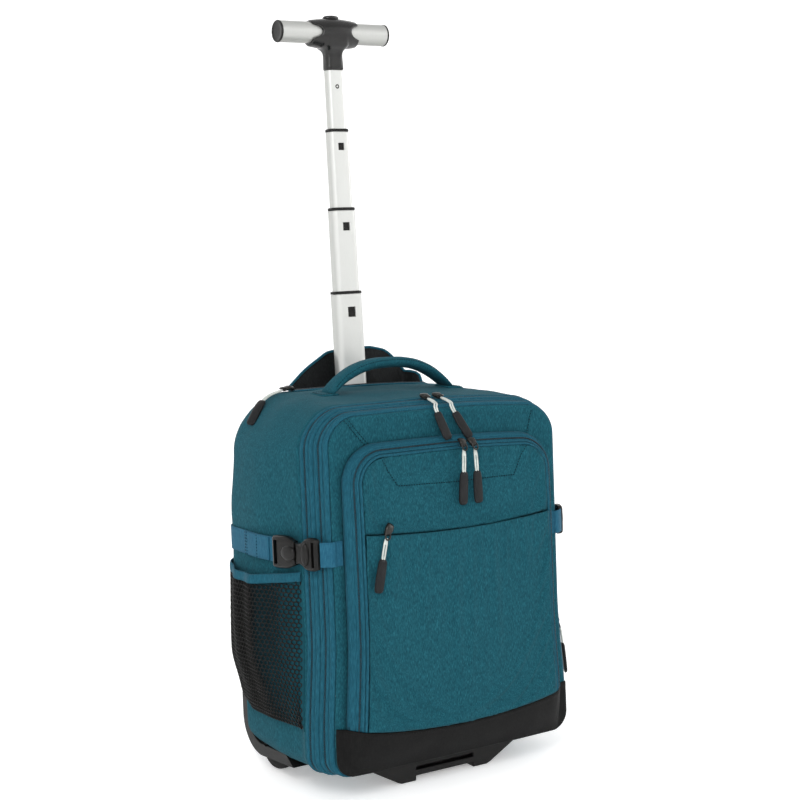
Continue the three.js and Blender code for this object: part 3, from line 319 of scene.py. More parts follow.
gusset_ys = np.linspace(BAG_BACK, SIDE_FRONT + GAP, 36)
gusset_grid = np.array([body_outline(y) for y in gusset_ys])
turned_side = np.clip((np.abs(gusset_grid[..., 0]) / half_at(gusset_grid[..., 1]) - 0.9) / 0.1, 0, 1)
gusset_grid[..., 0] += np.sign(gusset_grid[..., 0]) * turned_side * side_swell(gusset_grid[..., 1],
                                                                               gusset_grid[..., 2])
seam_ease = np.sin(np.pi * np.linspace(0, 1, len(gusset_ys)))[:, None] ** 0.5
outward = gusset_grid - [0, 0, 240]
outward[..., 1] = 0
outward /= np.linalg.norm(outward, axis=-1, keepdims=True)
housing_side = gusset_grid[..., 2] < HOUSING_TOP + 30
creases = 1.8 * lumps(gusset_grid * [1, 1, 0.6], 46, 3) + 0.5 * lumps(gusset_grid, 14, 5)
gusset_grid += outward * (np.where(housing_side, 0, creases) * seam_ease)[..., None]
BAG_MIDDLE = on_bag([0, 0, 240])
gusset = thicken(make("gusset_cloth", on_bag(gusset_grid), quads(*gusset_grid.shape[:2], wrap=True),
                      heather_cloth, BAG_MIDDLE), CLOTH)

# Wheel housings: one dark moulding at each lower back corner. Its J-shaped band guards the bag's edge
# and its round well takes the wheel; the gusset cloth is trimmed and clamped round it.
BAND_Y, BAND_Z, BAND_RADIUS, BAND_WIDTH, BAND_FRONT, BAND_INNER_FRONT = 50, 62, 43, 14, -24, -8
HOUSING_HALF, HOUSING_WALL, WELL_CLEAR = 170, 3, 2.5
WHEEL_RADIUS, WHEEL_WIDTH, WHEEL_TRACK, WHEEL_SETBACK, AXLE = 32, 18, 302, 43, 6
WHEEL_Y = WHEEL_SETBACK * math.cos(LEAN) - WHEEL_RADIUS * math.sin(LEAN)
WHEEL_Z = WHEEL_SETBACK * math.sin(LEAN) + WHEEL_RADIUS * math.cos(LEAN)


def solid(name, loops, finish, joined=False, smooth=True):
    """A closed body skinned over loops of equal length, with its ends capped or joined."""
    loops = np.asarray(loops, float)
    rows, count = loops.shape[:2]
    faces = quads(rows, count, wrap=True)
    if joined:
        last = (rows - 1) * count
        faces += [(last + i, last + (i + 1) % count, (i + 1) % count, i) for i in range(count)]
    else:
        faces += [tuple(range(count)), tuple(range((rows - 1) * count, rows * count))]
    return make(name, loops, faces, finish, smooth=smooth)


def crisp(made, angle=35.0):
    made.data.set_sharp_from_angle(angle=math.radians(angle))
    return made


def soften(made, width, segments=2, angle=35.0):
    edge = made.modifiers.new("moulded_edge", "BEVEL")
    edge.width, edge.segments = width / 1000, segments
    edge.limit_method, edge.angle_limit = "ANGLE", math.radians(angle)
    return made


def carve(made, tool, operation="DIFFERENCE"):
    step = made.modifiers.new("carve", "BOOLEAN")
    step.object, step.operation, step.solver = tool, operation, "EXACT"
    settle_modifiers(made)
    bpy.data.objects.remove(tool)
    return made


def push_along_x(name, outline, start, length, finish):
    outline = np.asarray(outline, float)
    ends = [np.column_stack([np.full(len(outline), x), outline]) for x in (start, start + length)]
    return solid(name, on_bag(ends), finish)


def disc_along_x(name, radius, x, width, finish, sides=64):
    ring = arc(WHEEL_Y, WHEEL_Z, radius, 0, 360, sides)
    return push_along_x(name, ring, x - width / 2, width, finish)


def band_outline(grow):
    outer = arc(BAND_Y, BAND_Z, BAND_RADIUS + grow, 0, -90, 24)
    inner = arc(BAND_Y, BAND_Z, BAND_RADIUS - BAND_WIDTH - grow, -90, 0, 24)
    return np.concatenate([
        [[BAND_Y + BAND_RADIUS + grow, HOUSING_TOP + grow]], outer,
        [[BAND_Y, BAND_Z - BAND_RADIUS - grow], [BAND_FRONT - grow, BAND_Z - BAND_RADIUS + 2 - grow],
         [BAND_INNER_FRONT - grow, BAND_Z - BAND_RADIUS + BAND_WIDTH + grow]], inner,
        [[BAND_Y + BAND_RADIUS - BAND_WIDTH - grow, HOUSING_TOP + grow]],
    ])


def housing_body(name, side, grow, finish):
    depth = HOUSING_HALF - WHEEL_TRACK / 2 + WHEEL_WIDTH / 2 + 2 * HOUSING_WALL
    start = HOUSING_HALF - depth - grow if side > 0 else -HOUSING_HALF - grow
    band = push_along_x(name, band_outline(grow), start, depth + 2 * grow, finish)
    well_radius = WHEEL_RADIUS + WELL_CLEAR + HOUSING_WALL
    well = disc_along_x("well", well_radius + grow, side * WHEEL_TRACK / 2,
                        WHEEL_WIDTH + 2 * (WELL_CLEAR + HOUSING_WALL) + 2 * grow, finish)
    floor = BAND_Z - BAND_RADIUS - grow
    below = [[WHEEL_Y - 90, floor - 40], [WHEEL_Y + 90, floor - 40], [WHEEL_Y + 90, floor], [WHEEL_Y - 90, floor]]
    carve(well, push_along_x("below", below, side * WHEEL_TRACK / 2 - 40, 80, finish))
    return carve(band, well, "UNION")


def build_grain_group():
    """Moulded grain: fine pits, and a faint scuff that lightens the colour here and there."""
    group, entry, leave = new_group(
        "moulded_grain", [("Grain Scale", "NodeSocketFloat", 1400.0), ("Scuff", "NodeSocketFloat", 0.3)],
        [("Tone", "NodeSocketFloat"), ("Height", "NodeSocketFloat")])
    where = group.nodes.new("ShaderNodeTexCoord").outputs["Object"]
    pits = streak_noise(group, where, 1, (1, 1, 1))
    scuffs = streak_noise(group, where, 1, (0.03, 0.05, 0.08), 5.0)
    for field in (pits, scuffs):
        group.links.new(entry.outputs["Grain Scale"], field.inputs["Scale"])
    worn = math_node(group, "MULTIPLY", scuffs.outputs["Fac"], entry.outputs["Scuff"])
    group.links.new(math_node(group, "ADD", worn, math_node(group, "MULTIPLY", pits.outputs["Fac"], 0.35)),
                    leave.inputs["Tone"])
    group.links.new(pits.outputs["Fac"], leave.inputs["Height"])
    return group


moulded_grain = build_grain_group()


def moulded_finish(name, dark, light, roughness, relief=0.0001, scale=1400.0, scuff=0.6, **extra):
    finish, tree, shader = new_finish(name, roughness, **extra)
    grain = tree.nodes.new("ShaderNodeGroup")
    grain.node_tree = moulded_grain
    grain.inputs["Grain Scale"].default_value = scale
    grain.inputs["Scuff"].default_value = scuff
    tree.links.new(ramp(tree, grain.outputs["Tone"], (0.2, dark), (0.8, light)), shader.inputs["Base Color"])
    bump(tree, shader, grain.outputs["Height"], relief)
    return finish


black_plastic = moulded_finish("black_plastic", "0a0a0a", "1c1b1a", 0.45, Specular_IOR_Level=0.2)
for side, label in ((-1, "left"), (1, "right")):
    housing = housing_body(f"housing_moulding_{label}", side, 0, black_plastic)
    carve(housing,
        disc_along_x("wheel_space", WHEEL_RADIUS + WELL_CLEAR, side * WHEEL_TRACK / 2, WHEEL_WIDTH + 2 * WELL_CLEAR,
                     black_plastic))
    carve(housing, disc_along_x("axle_hole", AXLE / 2 + GAP, side * WHEEL_TRACK / 2, 60, black_plastic, 24))
    soften(crisp(housing), 1.2)
    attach(housing, "bag")
    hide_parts(f"housing_{label}")
    carve(gusset, housing_body("housing_cut", side, GAP, heather_cloth))
mouth = [[MOUTH_FRONT + GAP, BAG_HEIGHT - 40], [BAG_BACK + 20, BAG_HEIGHT - 40], [BAG_BACK + 20, 500],
         [MOUTH_FRONT + GAP, 500]]
carve(gusset, push_along_x("mouth_cut", mouth, -MOUTH_HALF, 2 * MOUTH_HALF, heather_cloth))
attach(gusset, "bag")
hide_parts("main_gusset")

# Wheels: a soft tyre moulded on a hard centre, turning on a steel axle pressed into the housing.
# The tread has two shallow rings, and the centre is dished.
tyre_rubber = moulded_finish("tyre_rubber", "0e0e0e", "201f1e", 0.75, relief=0.00015, scuff=0.9,
                             Specular_IOR_Level=0.2)
wheel_half = [
    (AXLE / 2 + GAP, 0.46), (7.2, 0.46), (8, 0.44), (9.6, 0.22), (11, 0.2), (19, 0.2), (20.6, 0.24), (22, 0.42),
    (23, 0.44), (28.6, 0.44), (30, 0.42), (31.4, 0.3), (31.9, 0.2), (31.3, 0.17), (31.3, 0.13), (32, 0.1), (32, 0.02),
]
wheel_profile = [(r, x * WHEEL_WIDTH) for r, x in wheel_half] + [(r, -x * WHEEL_WIDTH) for r, x in wheel_half[::-1]]
for side, label in ((-1, "left"), (1, "right")):
    spun = [[(side * WHEEL_TRACK / 2 + x, WHEEL_Y + r * math.cos(turn), WHEEL_Z + r * math.sin(turn)) for r,
             x in wheel_profile]
            for turn in full_turn(72)]
    wheel = crisp(solid(f"tyred_wheel_{label}", on_bag(spun), tyre_rubber, joined=True), 45)
    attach(wheel, f"wheel_{label}")
    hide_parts(f"wheel_{label}")
    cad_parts[f"axle_{label}"].data.materials.clear()
    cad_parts[f"axle_{label}"].data.materials.append(black_plastic)

# Zip tapes and pipings: two coil zips run round the bag, the rear one for the main compartment and the
# front one for its expansion gusset, each sewn between corded pipings of the same smooth tape.
tape_weave = woven_finish("tape_weave", "0d3a49", "174a5a", "265f71", scale=1600.0, relief=0.0002, roughness=0.8)
coil_nylon = moulded_finish("coil_nylon", "081217", "1a2b33", 0.45, relief=0.00005, Specular_IOR_Level=0.3)
STACK = SIDE_FRONT - GROOVE
# node, start and end as shares of the stack, whether it carries a coil
BANDS = [
    ("zip_tape_rear", 0, 0.34, True), ("piping_rear", 0.34, 0.49, False),
    ("zip_tape_front", 0.49, 0.82, True), ("piping_front", 0.82, 1, False),
]
TAPE_PROFILE = [(0, -1.2), (0.03, 0), (0.1, 0.5), (0.26, 0.6), (0.33, 0.3), (0.36, -0.9), (0.5, -1), (0.64, -0.9),
                (0.67, 0.3), (0.74, 0.6), (0.9, 0.5), (0.97, 0), (1, -1.2)]
PIPING_PROFILE = [(0, -1.2), (0.03, -0.2), (0.12, 0.8), (0.3, 1.5), (0.5, 1.7), (0.7, 1.5), (0.88, 0.8), (0.97, -0.2),
                  (1, -1.2)]


def build_row_tree():
    """Small rounded beads set in a row along a path: zip coils and stitches."""
    tree = bpy.data.node_groups.new("row_along_path", "GeometryNodeTree")
    face = tree.interface
    face.new_socket("Geometry", in_out="INPUT", socket_type="NodeSocketGeometry")
    for label in ("Spacing", "Length", "Width", "Height"):
        face.new_socket(label, in_out="INPUT", socket_type="NodeSocketFloat").default_value = 0.001
    face.new_socket("Finish", in_out="INPUT", socket_type="NodeSocketMaterial")
    face.new_socket("Geometry", in_out="OUTPUT", socket_type="NodeSocketGeometry")
    add, link = tree.nodes.new, tree.links.new
    entry, leave = add("NodeGroupInput"), add("NodeGroupOutput")
    path, steps = add("GeometryNodeMeshToCurve"), add("GeometryNodeResampleCurve")
    steps.mode = "LENGTH"
    bead = add("GeometryNodeMeshUVSphere")
    bead.inputs["Segments"].default_value, bead.inputs["Rings"].default_value = 6, 4
    bead.inputs["Radius"].default_value = 0.5
    size, tangent = add("ShaderNodeCombineXYZ"), add("GeometryNodeInputTangent")
    out = add("GeometryNodeInputNamedAttribute")
    out.data_type = "FLOAT_VECTOR"
    out.inputs["Name"].default_value = "out"
    aim, tilt = add("FunctionNodeAlignRotationToVector"), add("FunctionNodeAlignRotationToVector")
    aim.axis, tilt.axis, tilt.pivot_axis = "X", "Z", "X"
    placed, real = add("GeometryNodeInstanceOnPoints"), add("GeometryNodeRealizeInstances")
    dress = add("GeometryNodeSetMaterial")
    link(entry.outputs["Geometry"], path.inputs["Mesh"])
    link(path.outputs["Curve"], steps.inputs["Curve"])
    link(entry.outputs["Spacing"], steps.inputs["Length"])
    for label, axis in (("Length", "X"), ("Width", "Y"), ("Height", "Z")):
        link(entry.outputs[label], size.inputs[axis])
    link(tangent.outputs[0], aim.inputs["Vector"])
    link(aim.outputs[0], tilt.inputs["Rotation"])
    link(out.outputs["Attribute"], tilt.inputs["Vector"])
    link(steps.outputs["Curve"], placed.inputs["Points"])
    link(bead.outputs["Mesh"], placed.inputs["Instance"])
    link(tilt.outputs[0], placed.inputs["Rotation"])
    link(size.outputs[0], placed.inputs["Scale"])
    link(placed.outputs["Instances"], real.inputs["Geometry"])
    link(real.outputs["Geometry"], dress.inputs["Geometry"])
    link(entry.outputs["Finish"], dress.inputs["Material"])
    link(dress.outputs["Geometry"], leave.inputs["Geometry"])
    return tree


row_along_path = build_row_tree()


def bead_rows(name, paths, sizes, finish):
    """Beads along each path of (points, outs, closed); sizes are spacing, length, width, height in mm."""
    verts, edges, outs = [], [], []
    for points, normals, closed in paths:
        start, count = len(verts), len(points)
        verts += np.asarray(points).tolist()
        outs += np.asarray(normals).tolist()
        edges += [(start + i, start + (i + 1) % count) for i in range(count if closed else count - 1)]
    mesh = bpy.data.meshes.new(name)
    mesh.from_pydata(verts, edges, [])
    mesh.attributes.new("out", "FLOAT_VECTOR", "POINT").data.foreach_set("vector",
                                                                         np.asarray(outs, np.float32).ravel())
    row = bpy.data.objects.new(name, mesh)
    bpy.context.scene.collection.objects.link(row)
    nodes = row.modifiers.new("row", "NODES")
    nodes.node_group = row_along_path
    sockets = {s.name: s.identifier for s in row_along_path.interface.items_tree if s.in_out == "INPUT"}
    for label, value in zip(("Spacing", "Length", "Width", "Height"), sizes):
        nodes[sockets[label]] = value / 1000
    nodes[sockets["Finish"]] = finish
    settle_modifiers(row)
    row.data.polygons.foreach_set("use_smooth", [True] * len(row.data.polygons))
    return row


def body_normals(outline):
    """Outward directions of a ring round the bag, in the model's frame."""
    ahead = np.roll(outline, -1, 0) - np.roll(outline, 1, 0)
    normals = np.stack([ahead[:, 2], 0 * ahead[:, 0], -ahead[:, 0]], 1)
    normals /= np.linalg.norm(normals, axis=1, keepdims=True)
    return on_bag(normals) * 1000 - on_bag(np.zeros(3)) * 1000


for node, start, end, coiled in BANDS:
    near, far = SIDE_FRONT - start * STACK, SIDE_FRONT - end * STACK + GAP
    profile = TAPE_PROFILE if coiled else PIPING_PROFILE
    ring = [body_outline(near + share * (far - near), proud) for share, proud in profile]
    band = thicken(make(f"{node}_band", on_bag(ring), quads(len(ring), len(ring[0]), wrap=True), tape_weave,
                        BAG_MIDDLE), 1.4)
    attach(band, "bag")
    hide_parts(node)
    if coiled:
        middle = body_outline((near + far) / 2, -0.9)
        coil = bead_rows(f"{node}_coil", [(on_bag(middle), body_normals(middle), True)], (1.9, 1.3, 3.6, 2.2),
                         coil_nylon)
        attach(coil, "bag")

# Front and back panels: the front one is the stiffened cloth behind the pocket; the back one is padded
# with foam, quilted into channels that let air pass behind the wearer.
stitch_thread = moulded_finish("stitch_thread", "020e14", "06202a", 0.8, Specular_IOR_Level=0.1)
PANEL_FRONT = GROOVE - GAP - CLOTH
BACK_PAD = 8
PIPED_EDGE = 11
front_rows = [(1.0, 0), (1.3, -1.2), (2.2, -1.9)]
front_rows += [(inset, -2 - 0.9 * math.sin(math.pi * min(inset - 2, PIPED_EDGE) / PIPED_EDGE))
               for inset in np.linspace(3, 13, 9)]
front_rows += [(inset, -2.0) for inset in (24, 40, 70, 100)]
front_loops = [body_outline(GROOVE, -inset) + [0, out - GAP, 0] for inset, out in front_rows]
rows, count = len(front_loops), len(front_loops[0])
front_faces = quads(rows, count, wrap=True) + [tuple(range((rows - 1) * count, rows * count))]
front_panel = thicken(make("front_panel_cloth", on_bag(front_loops), front_faces, heather_cloth, BAG_MIDDLE), 1.5)
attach(front_panel, "bag")
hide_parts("front_panel")


def quilting(x, z):
    """Depth share of the channels pressed into the back foam: one upright, three across, slanted."""
    upright = np.exp(-(x / 9) ** 2)
    across = sum(np.exp(-((z - level + 0.18 * np.abs(x)) / 7) ** 2) for level in (150, 235, 320))
    return np.clip(upright + across, 0, 1)


back_rows = [(1, -0.8), (0.4, 1.6), (0, 2.8), (1, 5), (3.5, 6.7)]
back_rows += [(inset, 6.7 + 1.3 * min(1, (inset - 3.5) / 20)) for inset in np.linspace(7, 138, 40)]
back_loops = []
for inset, out in back_rows:
    loop = body_outline(BAG_BACK, -inset)
    pressed = 3.6 * quilting(loop[:, 0], loop[:, 2]) * min(1, max(0, (inset - 10) / 15))
    loop[:, 1] += out + GAP - pressed
    back_loops.append(loop)
back_panel = solid("back_panel_pad", on_bag(back_loops), heather_cloth)
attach(back_panel, "bag")
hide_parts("back_panel")

# Front pocket: a bellows of zip tape round three sides carries the pocket's face, which stands 37 mm off
# the panel behind it. The coil zip lies in the tape, and a corded piping joins tape and face.
POCKET_HALF, POCKET_TOP, POCKET_CORNER, POCKET_DEPTH = 144, 399, 46, 37
BOOT_HEIGHT, BOOT_SAG, BOOT_WALL = 55, 14, 2.5
SWELL_IN = np.array([[-13, 0.08], [0, 0.1], [1, 0.3], [5, 0.52], [12, 0.72], [20, 0.82], [45, 0.93], [150, 1]])
SWELL_UP = np.array([[0.06, 0.1], [0.1, 0.4], [0.14, 0.7], [0.18, 0.9], [0.23, 1], [0.6, 1.04], [0.8, 1], [1, 0.86]])
FINE_IN = np.linspace(-13, 150, 653)
FINE_UP = np.linspace(0, 1.1, 221)


def smoothed(rows, places, width):
    kernel = np.hanning(width) / np.hanning(width).sum()
    return np.convolve(np.pad(np.interp(places, rows[:, 0], rows[:, 1]), width // 2, mode="edge"), kernel, "valid")


SWELL_IN_FINE, SWELL_UP_FINE = smoothed(SWELL_IN, FINE_IN, 13), smoothed(SWELL_UP, FINE_UP, 25)


def boot_top(x):
    return BAG_CLEAR + BOOT_HEIGHT - BOOT_SAG * (1 - (np.asarray(x, float) / POCKET_HALF) ** 2)


def pocket_y(x, z, lift=0.0):
    """Depth of the pocket's outer face, from how far in from its rounded edge the place lies."""
    x, z = np.asarray(x, float), np.asarray(z, float)
    across, down = POCKET_HALF - np.abs(x), POCKET_TOP - z
    corner = POCKET_CORNER - np.hypot(POCKET_CORNER - across, POCKET_CORNER - down)
    inset = np.where((across < POCKET_CORNER) & (down < POCKET_CORNER), corner, np.minimum(across, down))
    proud = POCKET_DEPTH * np.interp(inset, FINE_IN, SWELL_IN_FINE) * np.interp(z / POCKET_TOP, FINE_UP,
                                                                                SWELL_UP_FINE)
    return PANEL_FRONT - GAP - lift - proud


def pocket_path(inset):
    half, radius, shoulder = POCKET_HALF - inset, POCKET_CORNER - inset, POCKET_TOP - POCKET_CORNER
    left = np.concatenate([
        line(-half, boot_top(half) + 0.9, -half, shoulder, 50), arc(-half + radius, shoulder, radius, 180, 90, 16),
        line(-half + radius, POCKET_TOP - inset, 0, POCKET_TOP - inset, 22),
    ])
    return np.concatenate([left, [[0, POCKET_TOP - inset]], left[::-1] * [-1, 1]])


def pocket_rail(inset, deep):
    path = pocket_path(inset)
    return np.stack([path[:, 0], pocket_y(path[:, 0], path[:, 1], -deep), path[:, 1]], 1)


POCKET_TAPE = [(0.9, 3.4), (0, 2), (0, 0.2), (0.9, -0.5), (2.6, -0.9), (4.2, -0.5), (4.9, 0.8), (5.3, 1.6), (6, 1),
               (7.2, 0.9), (8.8, 0.9), (9.6, 1), (10, 1.6), (10.4, 0.3), (11.2, -0.3), (12, -0.2), (12.5, 0.8),
               (12.5, 2.2)]
POCKET_CORD = [(12.8, 1.6), (13, 0.2), (13.6, -0.9), (14.5, -1.6), (15.4, -0.9), (16, 0.2), (16.1, 1.6)]
for node, rows in (("pocket_zip_band", POCKET_TAPE), ("pocket_piping", POCKET_CORD)):
    rails = [pocket_rail(inset, deep) for inset, deep in rows]
    strip = thicken(make(f"{node}_tape", on_bag(rails), quads(len(rails), len(rails[0])), tape_weave, BAG_MIDDLE),
                    1.1)
    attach(strip, "bag")
    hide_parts(node)
COIL_INSET = 7.9
coil_path = pocket_rail(COIL_INSET, 0.5)
into = pocket_rail(COIL_INSET + 1, 0.5) - pocket_rail(COIL_INSET - 1, 0.5)
ahead = np.gradient(coil_path, axis=0)
coil_out = np.cross(ahead, into)
coil_out *= np.sign(-coil_out[:, 1:2]) / np.linalg.norm(coil_out, axis=1, keepdims=True)
turn = on_bag(coil_out) * 1000 - on_bag(np.zeros(3)) * 1000
pocket_coil = bead_rows("pocket_coil", [(on_bag(coil_path), turn, False)], (1.7, 1.25, 2.8, 1.8), coil_nylon)
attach(pocket_coil, "bag")

# Pocket face: two panels of the heathered cloth. The lower one laps over the slit's zip with a turned
# hem, and both are eased into the piping, so that they pucker a little along it.
FACE_INSET, SLIT_HEIGHT, SLIT_SAG, LAP = 16.4, 301, 8, 1.6
FACE_HALF, FACE_RADIUS, FACE_TOP = POCKET_HALF - FACE_INSET, POCKET_CORNER - FACE_INSET, POCKET_TOP - FACE_INSET
FACE_SHOULDER = POCKET_TOP - POCKET_CORNER


def slit_at(x):
    return SLIT_HEIGHT - SLIT_SAG * (1 - (np.asarray(x, float) / POCKET_HALF) ** 2)


def face_half(z):
    rise = np.clip(z - FACE_SHOULDER, 0, FACE_RADIUS)
    return FACE_HALF - FACE_RADIUS + np.sqrt(FACE_RADIUS ** 2 - rise ** 2)


def simulate_cloth(made, pinned, pressure, shrink, cap):
    """Lets the cloth swell and pucker between its pinned seams, moving no point further than cap mm."""
    rest = np.array([v.co for v in made.data.vertices])
    held = made.vertex_groups.new(name="seam")
    held.add([int(i) for i in pinned], 1.0, "REPLACE")
    step = made.modifiers.new("cloth", "CLOTH")
    step.settings.vertex_group_mass = "seam"
    step.settings.quality, step.settings.mass = 6, 0.25
    step.settings.use_pressure, step.settings.uniform_pressure_force = True, pressure
    step.settings.shrink_min = shrink
    step.settings.tension_stiffness, step.settings.compression_stiffness = 30, 12
    step.settings.bending_stiffness = 1.2
    step.settings.effector_weights.gravity = 0.15
    step.point_cache.frame_start, step.point_cache.frame_end = 1, 20
    for number in range(1, 21):
        bpy.context.scene.frame_set(number)
    moved = np.array([v.co for v in made.evaluated_get(bpy.context.evaluated_depsgraph_get()).data.vertices])
    made.modifiers.remove(step)
    bpy.context.scene.frame_set(1)
    away = moved - rest
    far = np.linalg.norm(away, axis=1, keepdims=True)
    away *= np.minimum(1, cap / 1000 / np.maximum(far, 1e-9))
    made.data.vertices.foreach_set("co", (rest + away).ravel())
    made.vertex_groups.remove(held)
    return made


def face_panel(name, low, high, lift, rows, columns):
    across, up = np.meshgrid(np.linspace(-1, 1, columns), np.linspace(0, 1, rows))
    floor, roof = low(across * FACE_HALF), high(across * FACE_HALF)
    z = floor + (roof - floor) * up
    x = across * face_half(z)
    place = np.stack([x, pocket_y(x, z, 0) - lift(x, z, up), z], -1)
    place[..., 1] += 0.7 * lumps(place, 55, 8) * np.clip((1 - np.abs(across)) * 6, 0, 1) * np.clip(up * 6, 0,
        1) * np.clip((1 - up) * 6, 0, 1)
    made = make(name, on_bag(place), quads(rows, columns), heather_cloth, BAG_MIDDLE)
    numbers = np.arange(rows * columns).reshape(rows, columns)
    edge = np.concatenate([numbers[0], numbers[-1], numbers[:, 0], numbers[:, -1]])
    simulate_cloth(made, edge, 1.6, -0.02, 4.5)
    return made


def tucked(x, z, up):
    """The upper panel dips behind the slit's lap."""
    return -3.2 * np.exp(-(z - slit_at(x)) / 5)


def hemmed(x, z, up):
    """The lower panel's top is folded over, so it stands a cloth's thickness further out."""
    below = slit_at(x) - z
    return LAP + 0.9 * np.clip((11 - below) / 1.5, 0, 1) - 1.6 * np.exp(-below / 0.8)


upper_face = face_panel("pocket_upper_cloth", slit_at, lambda x: FACE_TOP + 0 * x, tucked, 44, 100)
lower_face = face_panel("pocket_lower_cloth", lambda x: boot_top(x) + 0.9, lambda x: slit_at(x) - GAP, hemmed, 96,
                        100)
for panel, node in ((upper_face, "pocket_upper_panel"), (lower_face, "pocket_lower_panel")):
    thicken(panel, 1.4)
    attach(panel, "bag")
    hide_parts(node)

# Stitching: dark lockstitch that quilts the pocket and the panel behind it, and closes hems and seams.
STITCH = (3.4, 2.5, 1.1, 0.9)


def polyline(points, spacing=4.0):
    out = [points[0]]
    for a, b in zip(points, points[1:]):
        steps = max(1, int(math.dist(a, b) / spacing))
        out += [tuple(np.array(a) + (np.array(b) - np.array(a)) * (i + 1) / steps) for i in range(steps)]
    return np.array(out)


def seam_on(surface, line_xz, proud=0.35):
    """A stitch path laid on the front, where the surface is a function of x and z."""
    flat = polyline(line_xz)
    y = surface(flat[:, 0], flat[:, 1]) - proud
    path = on_bag(np.stack([flat[:, 0], y, flat[:, 1]], 1))
    return path, np.tile([0.0, -1.0, 0.07], (len(path), 1)), False


def laid_on(made, seams, proud=0.55):
    """Moves each stitch path back onto the cloth as it lies after the simulation."""
    bpy.context.view_layer.update()
    placed = []
    for path, outs, closed in seams:
        hits = [made.ray_cast(Vector(p) - Vector((0, 0.03, 0)), Vector((0, 1, 0)), distance=0.06) for p in path]
        placed.append(([hit[1] - Vector((0, proud / 1000, 0)) if hit[0] else Vector(p) for hit, p in zip(hits, path)],
                       outs, closed))
    return placed


quilt = [(-102, 382), (-82, 349), (0, 345.5), (80, 347), (99, 381)]
upper_seams = laid_on(upper_face, [seam_on(pocket_y, quilt)])
slants = ([(-135, 429), (-104, 389)], [(-131, 430.5), (-100, 391)], [(124, 426), (116, 392)])
panel_seams = laid_on(front_panel, [seam_on(lambda x, z: PANEL_FRONT + 0 * x, slant) for slant in slants])
stitches = bead_rows("face_stitches", upper_seams + panel_seams, STITCH, stitch_thread)
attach(stitches, "bag")

# Boot: a coated cloth shoe that guards the bag's lower front. It is cut with darted corners, and its top
# edge is turned over and stitched onto the pocket.
coated_cloth = woven_finish("coated_cloth", "080808", "101010", "1a1a19", scale=1500.0, relief=0.00012, roughness=0.6,
                            sheen=0.0)
PANEL_HALF = half_at(GROOVE)


def boot_place(across, up, deep=0.0):
    z = BAG_CLEAR + 0.5 + (boot_top(across * PANEL_HALF) - BAG_CLEAR - 0.5) * up
    rise = np.minimum(z - BAG_CLEAR, BOTTOM_CORNER)
    drawn = BOTTOM_CORNER - np.sqrt(BOTTOM_CORNER ** 2 - (BOTTOM_CORNER - rise) ** 2)
    x = across * (PANEL_HALF - 1 - drawn)
    out = np.maximum(PANEL_FRONT - GAP - pocket_y(x, z), BOOT_WALL + GAP)
    hem = 0.5 * np.clip((up - 0.86) * 20, 0, 1) - 1.2 * np.clip((up - 0.985) * 60, 0, 1)
    return np.stack([x, PANEL_FRONT - out - GAP - hem + deep, z], -1)


boot_across, boot_up = np.meshgrid(np.linspace(-1, 1, 130), np.linspace(0, 1, 40))
boot_grid = boot_place(boot_across, boot_up)
boot_grid[..., 1] += 1.3 * lumps(boot_grid, 30, 12) * np.clip((1 - np.abs(boot_across)) * 5, 0, 1)
boot = thicken(make("boot_cloth", on_bag(boot_grid), quads(40, 130), coated_cloth, BAG_MIDDLE), 1.8)
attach(boot, "bag")
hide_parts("boot")
path = on_bag(boot_place(np.linspace(-0.97, 0.97, 90), np.full(90, 0.93)) - [0, 0.4, 0])
boot_seam = laid_on(boot, [(path, np.tile([0.0, -1.0, 0.07], (90, 1)), False)], 0.2)
boot_stitches = bead_rows("boot_stitches", boot_seam, (3.4, 2.4, 0.7, 0.5), coated_cloth)
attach(boot_stitches, "bag")

# Mesh pocket: stretch net on the left side, open at the top under a bound elastic edge. It stands off the bag
# by the width of a bottle. Just behind the net lies a sheet painted with the shade inside the pocket.
MESH_TOP, MESH_BOTTOM, MESH_BULGE, BINDING = 252, 75, 15, 11
MESH_BACK, MESH_FRONT = BAG_BACK - 0.04 * BAG_DEPTH - 2, SIDE_FRONT + 3
net_black = moulded_finish("net_black", "0b0b0b", "1c1c1b", 0.6, Specular_IOR_Level=0.2)


def net_shadow_finish():
    """Painted shadow for the sheet behind the net: dark deep in the pocket, lighter towards the bag's teal near the
    front seam, where less shade falls.
    """
    finish, tree, shader = new_finish("net_painted_shadow", 0.9, Specular_IOR_Level=0.1)
    where = tree.nodes.new("ShaderNodeTexCoord").outputs["Object"]
    place = tree.nodes.new("ShaderNodeSeparateXYZ")
    tree.links.new(where, place.inputs["Vector"])
    cloud = streak_noise(tree, where, 60, (1, 1, 0.2)).outputs["Fac"]
    forward = math_node(tree, "MULTIPLY", place.outputs["Y"], -11)
    less_shade_near_seam = math_node(tree, "ADD", forward, math_node(tree, "MULTIPLY", cloud, 0.5))
    # painted shade: darkest towards the back of the pocket, the bag's teal near the front seam
    tree.links.new(ramp(tree, less_shade_near_seam, (0.15, "0a0b0b"), (0.55, "0e2a31"), (1.0, "16444f")),
                   shader.inputs["Base Color"])
    bump(tree, shader, cloud, 0.0004)
    return finish


net_painted_shadow = net_shadow_finish()
lining_black = woven_finish("lining_black", "080909", "121415", "222526", scale=1800.0, relief=0.0001, roughness=0.6)


def mesh_share(y):
    return np.clip((MESH_BACK - y) / (MESH_BACK - MESH_FRONT), 0, 1)


def mesh_edge(y):
    return MESH_TOP + 5 * mesh_share(y) - 7 * np.sin(np.pi * mesh_share(y))


def mesh_floor(y):
    return HOUSING_TOP + GAP + (MESH_BOTTOM - HOUSING_TOP - GAP) * np.clip(6 * mesh_share(y) - 0.6, 0, 1)


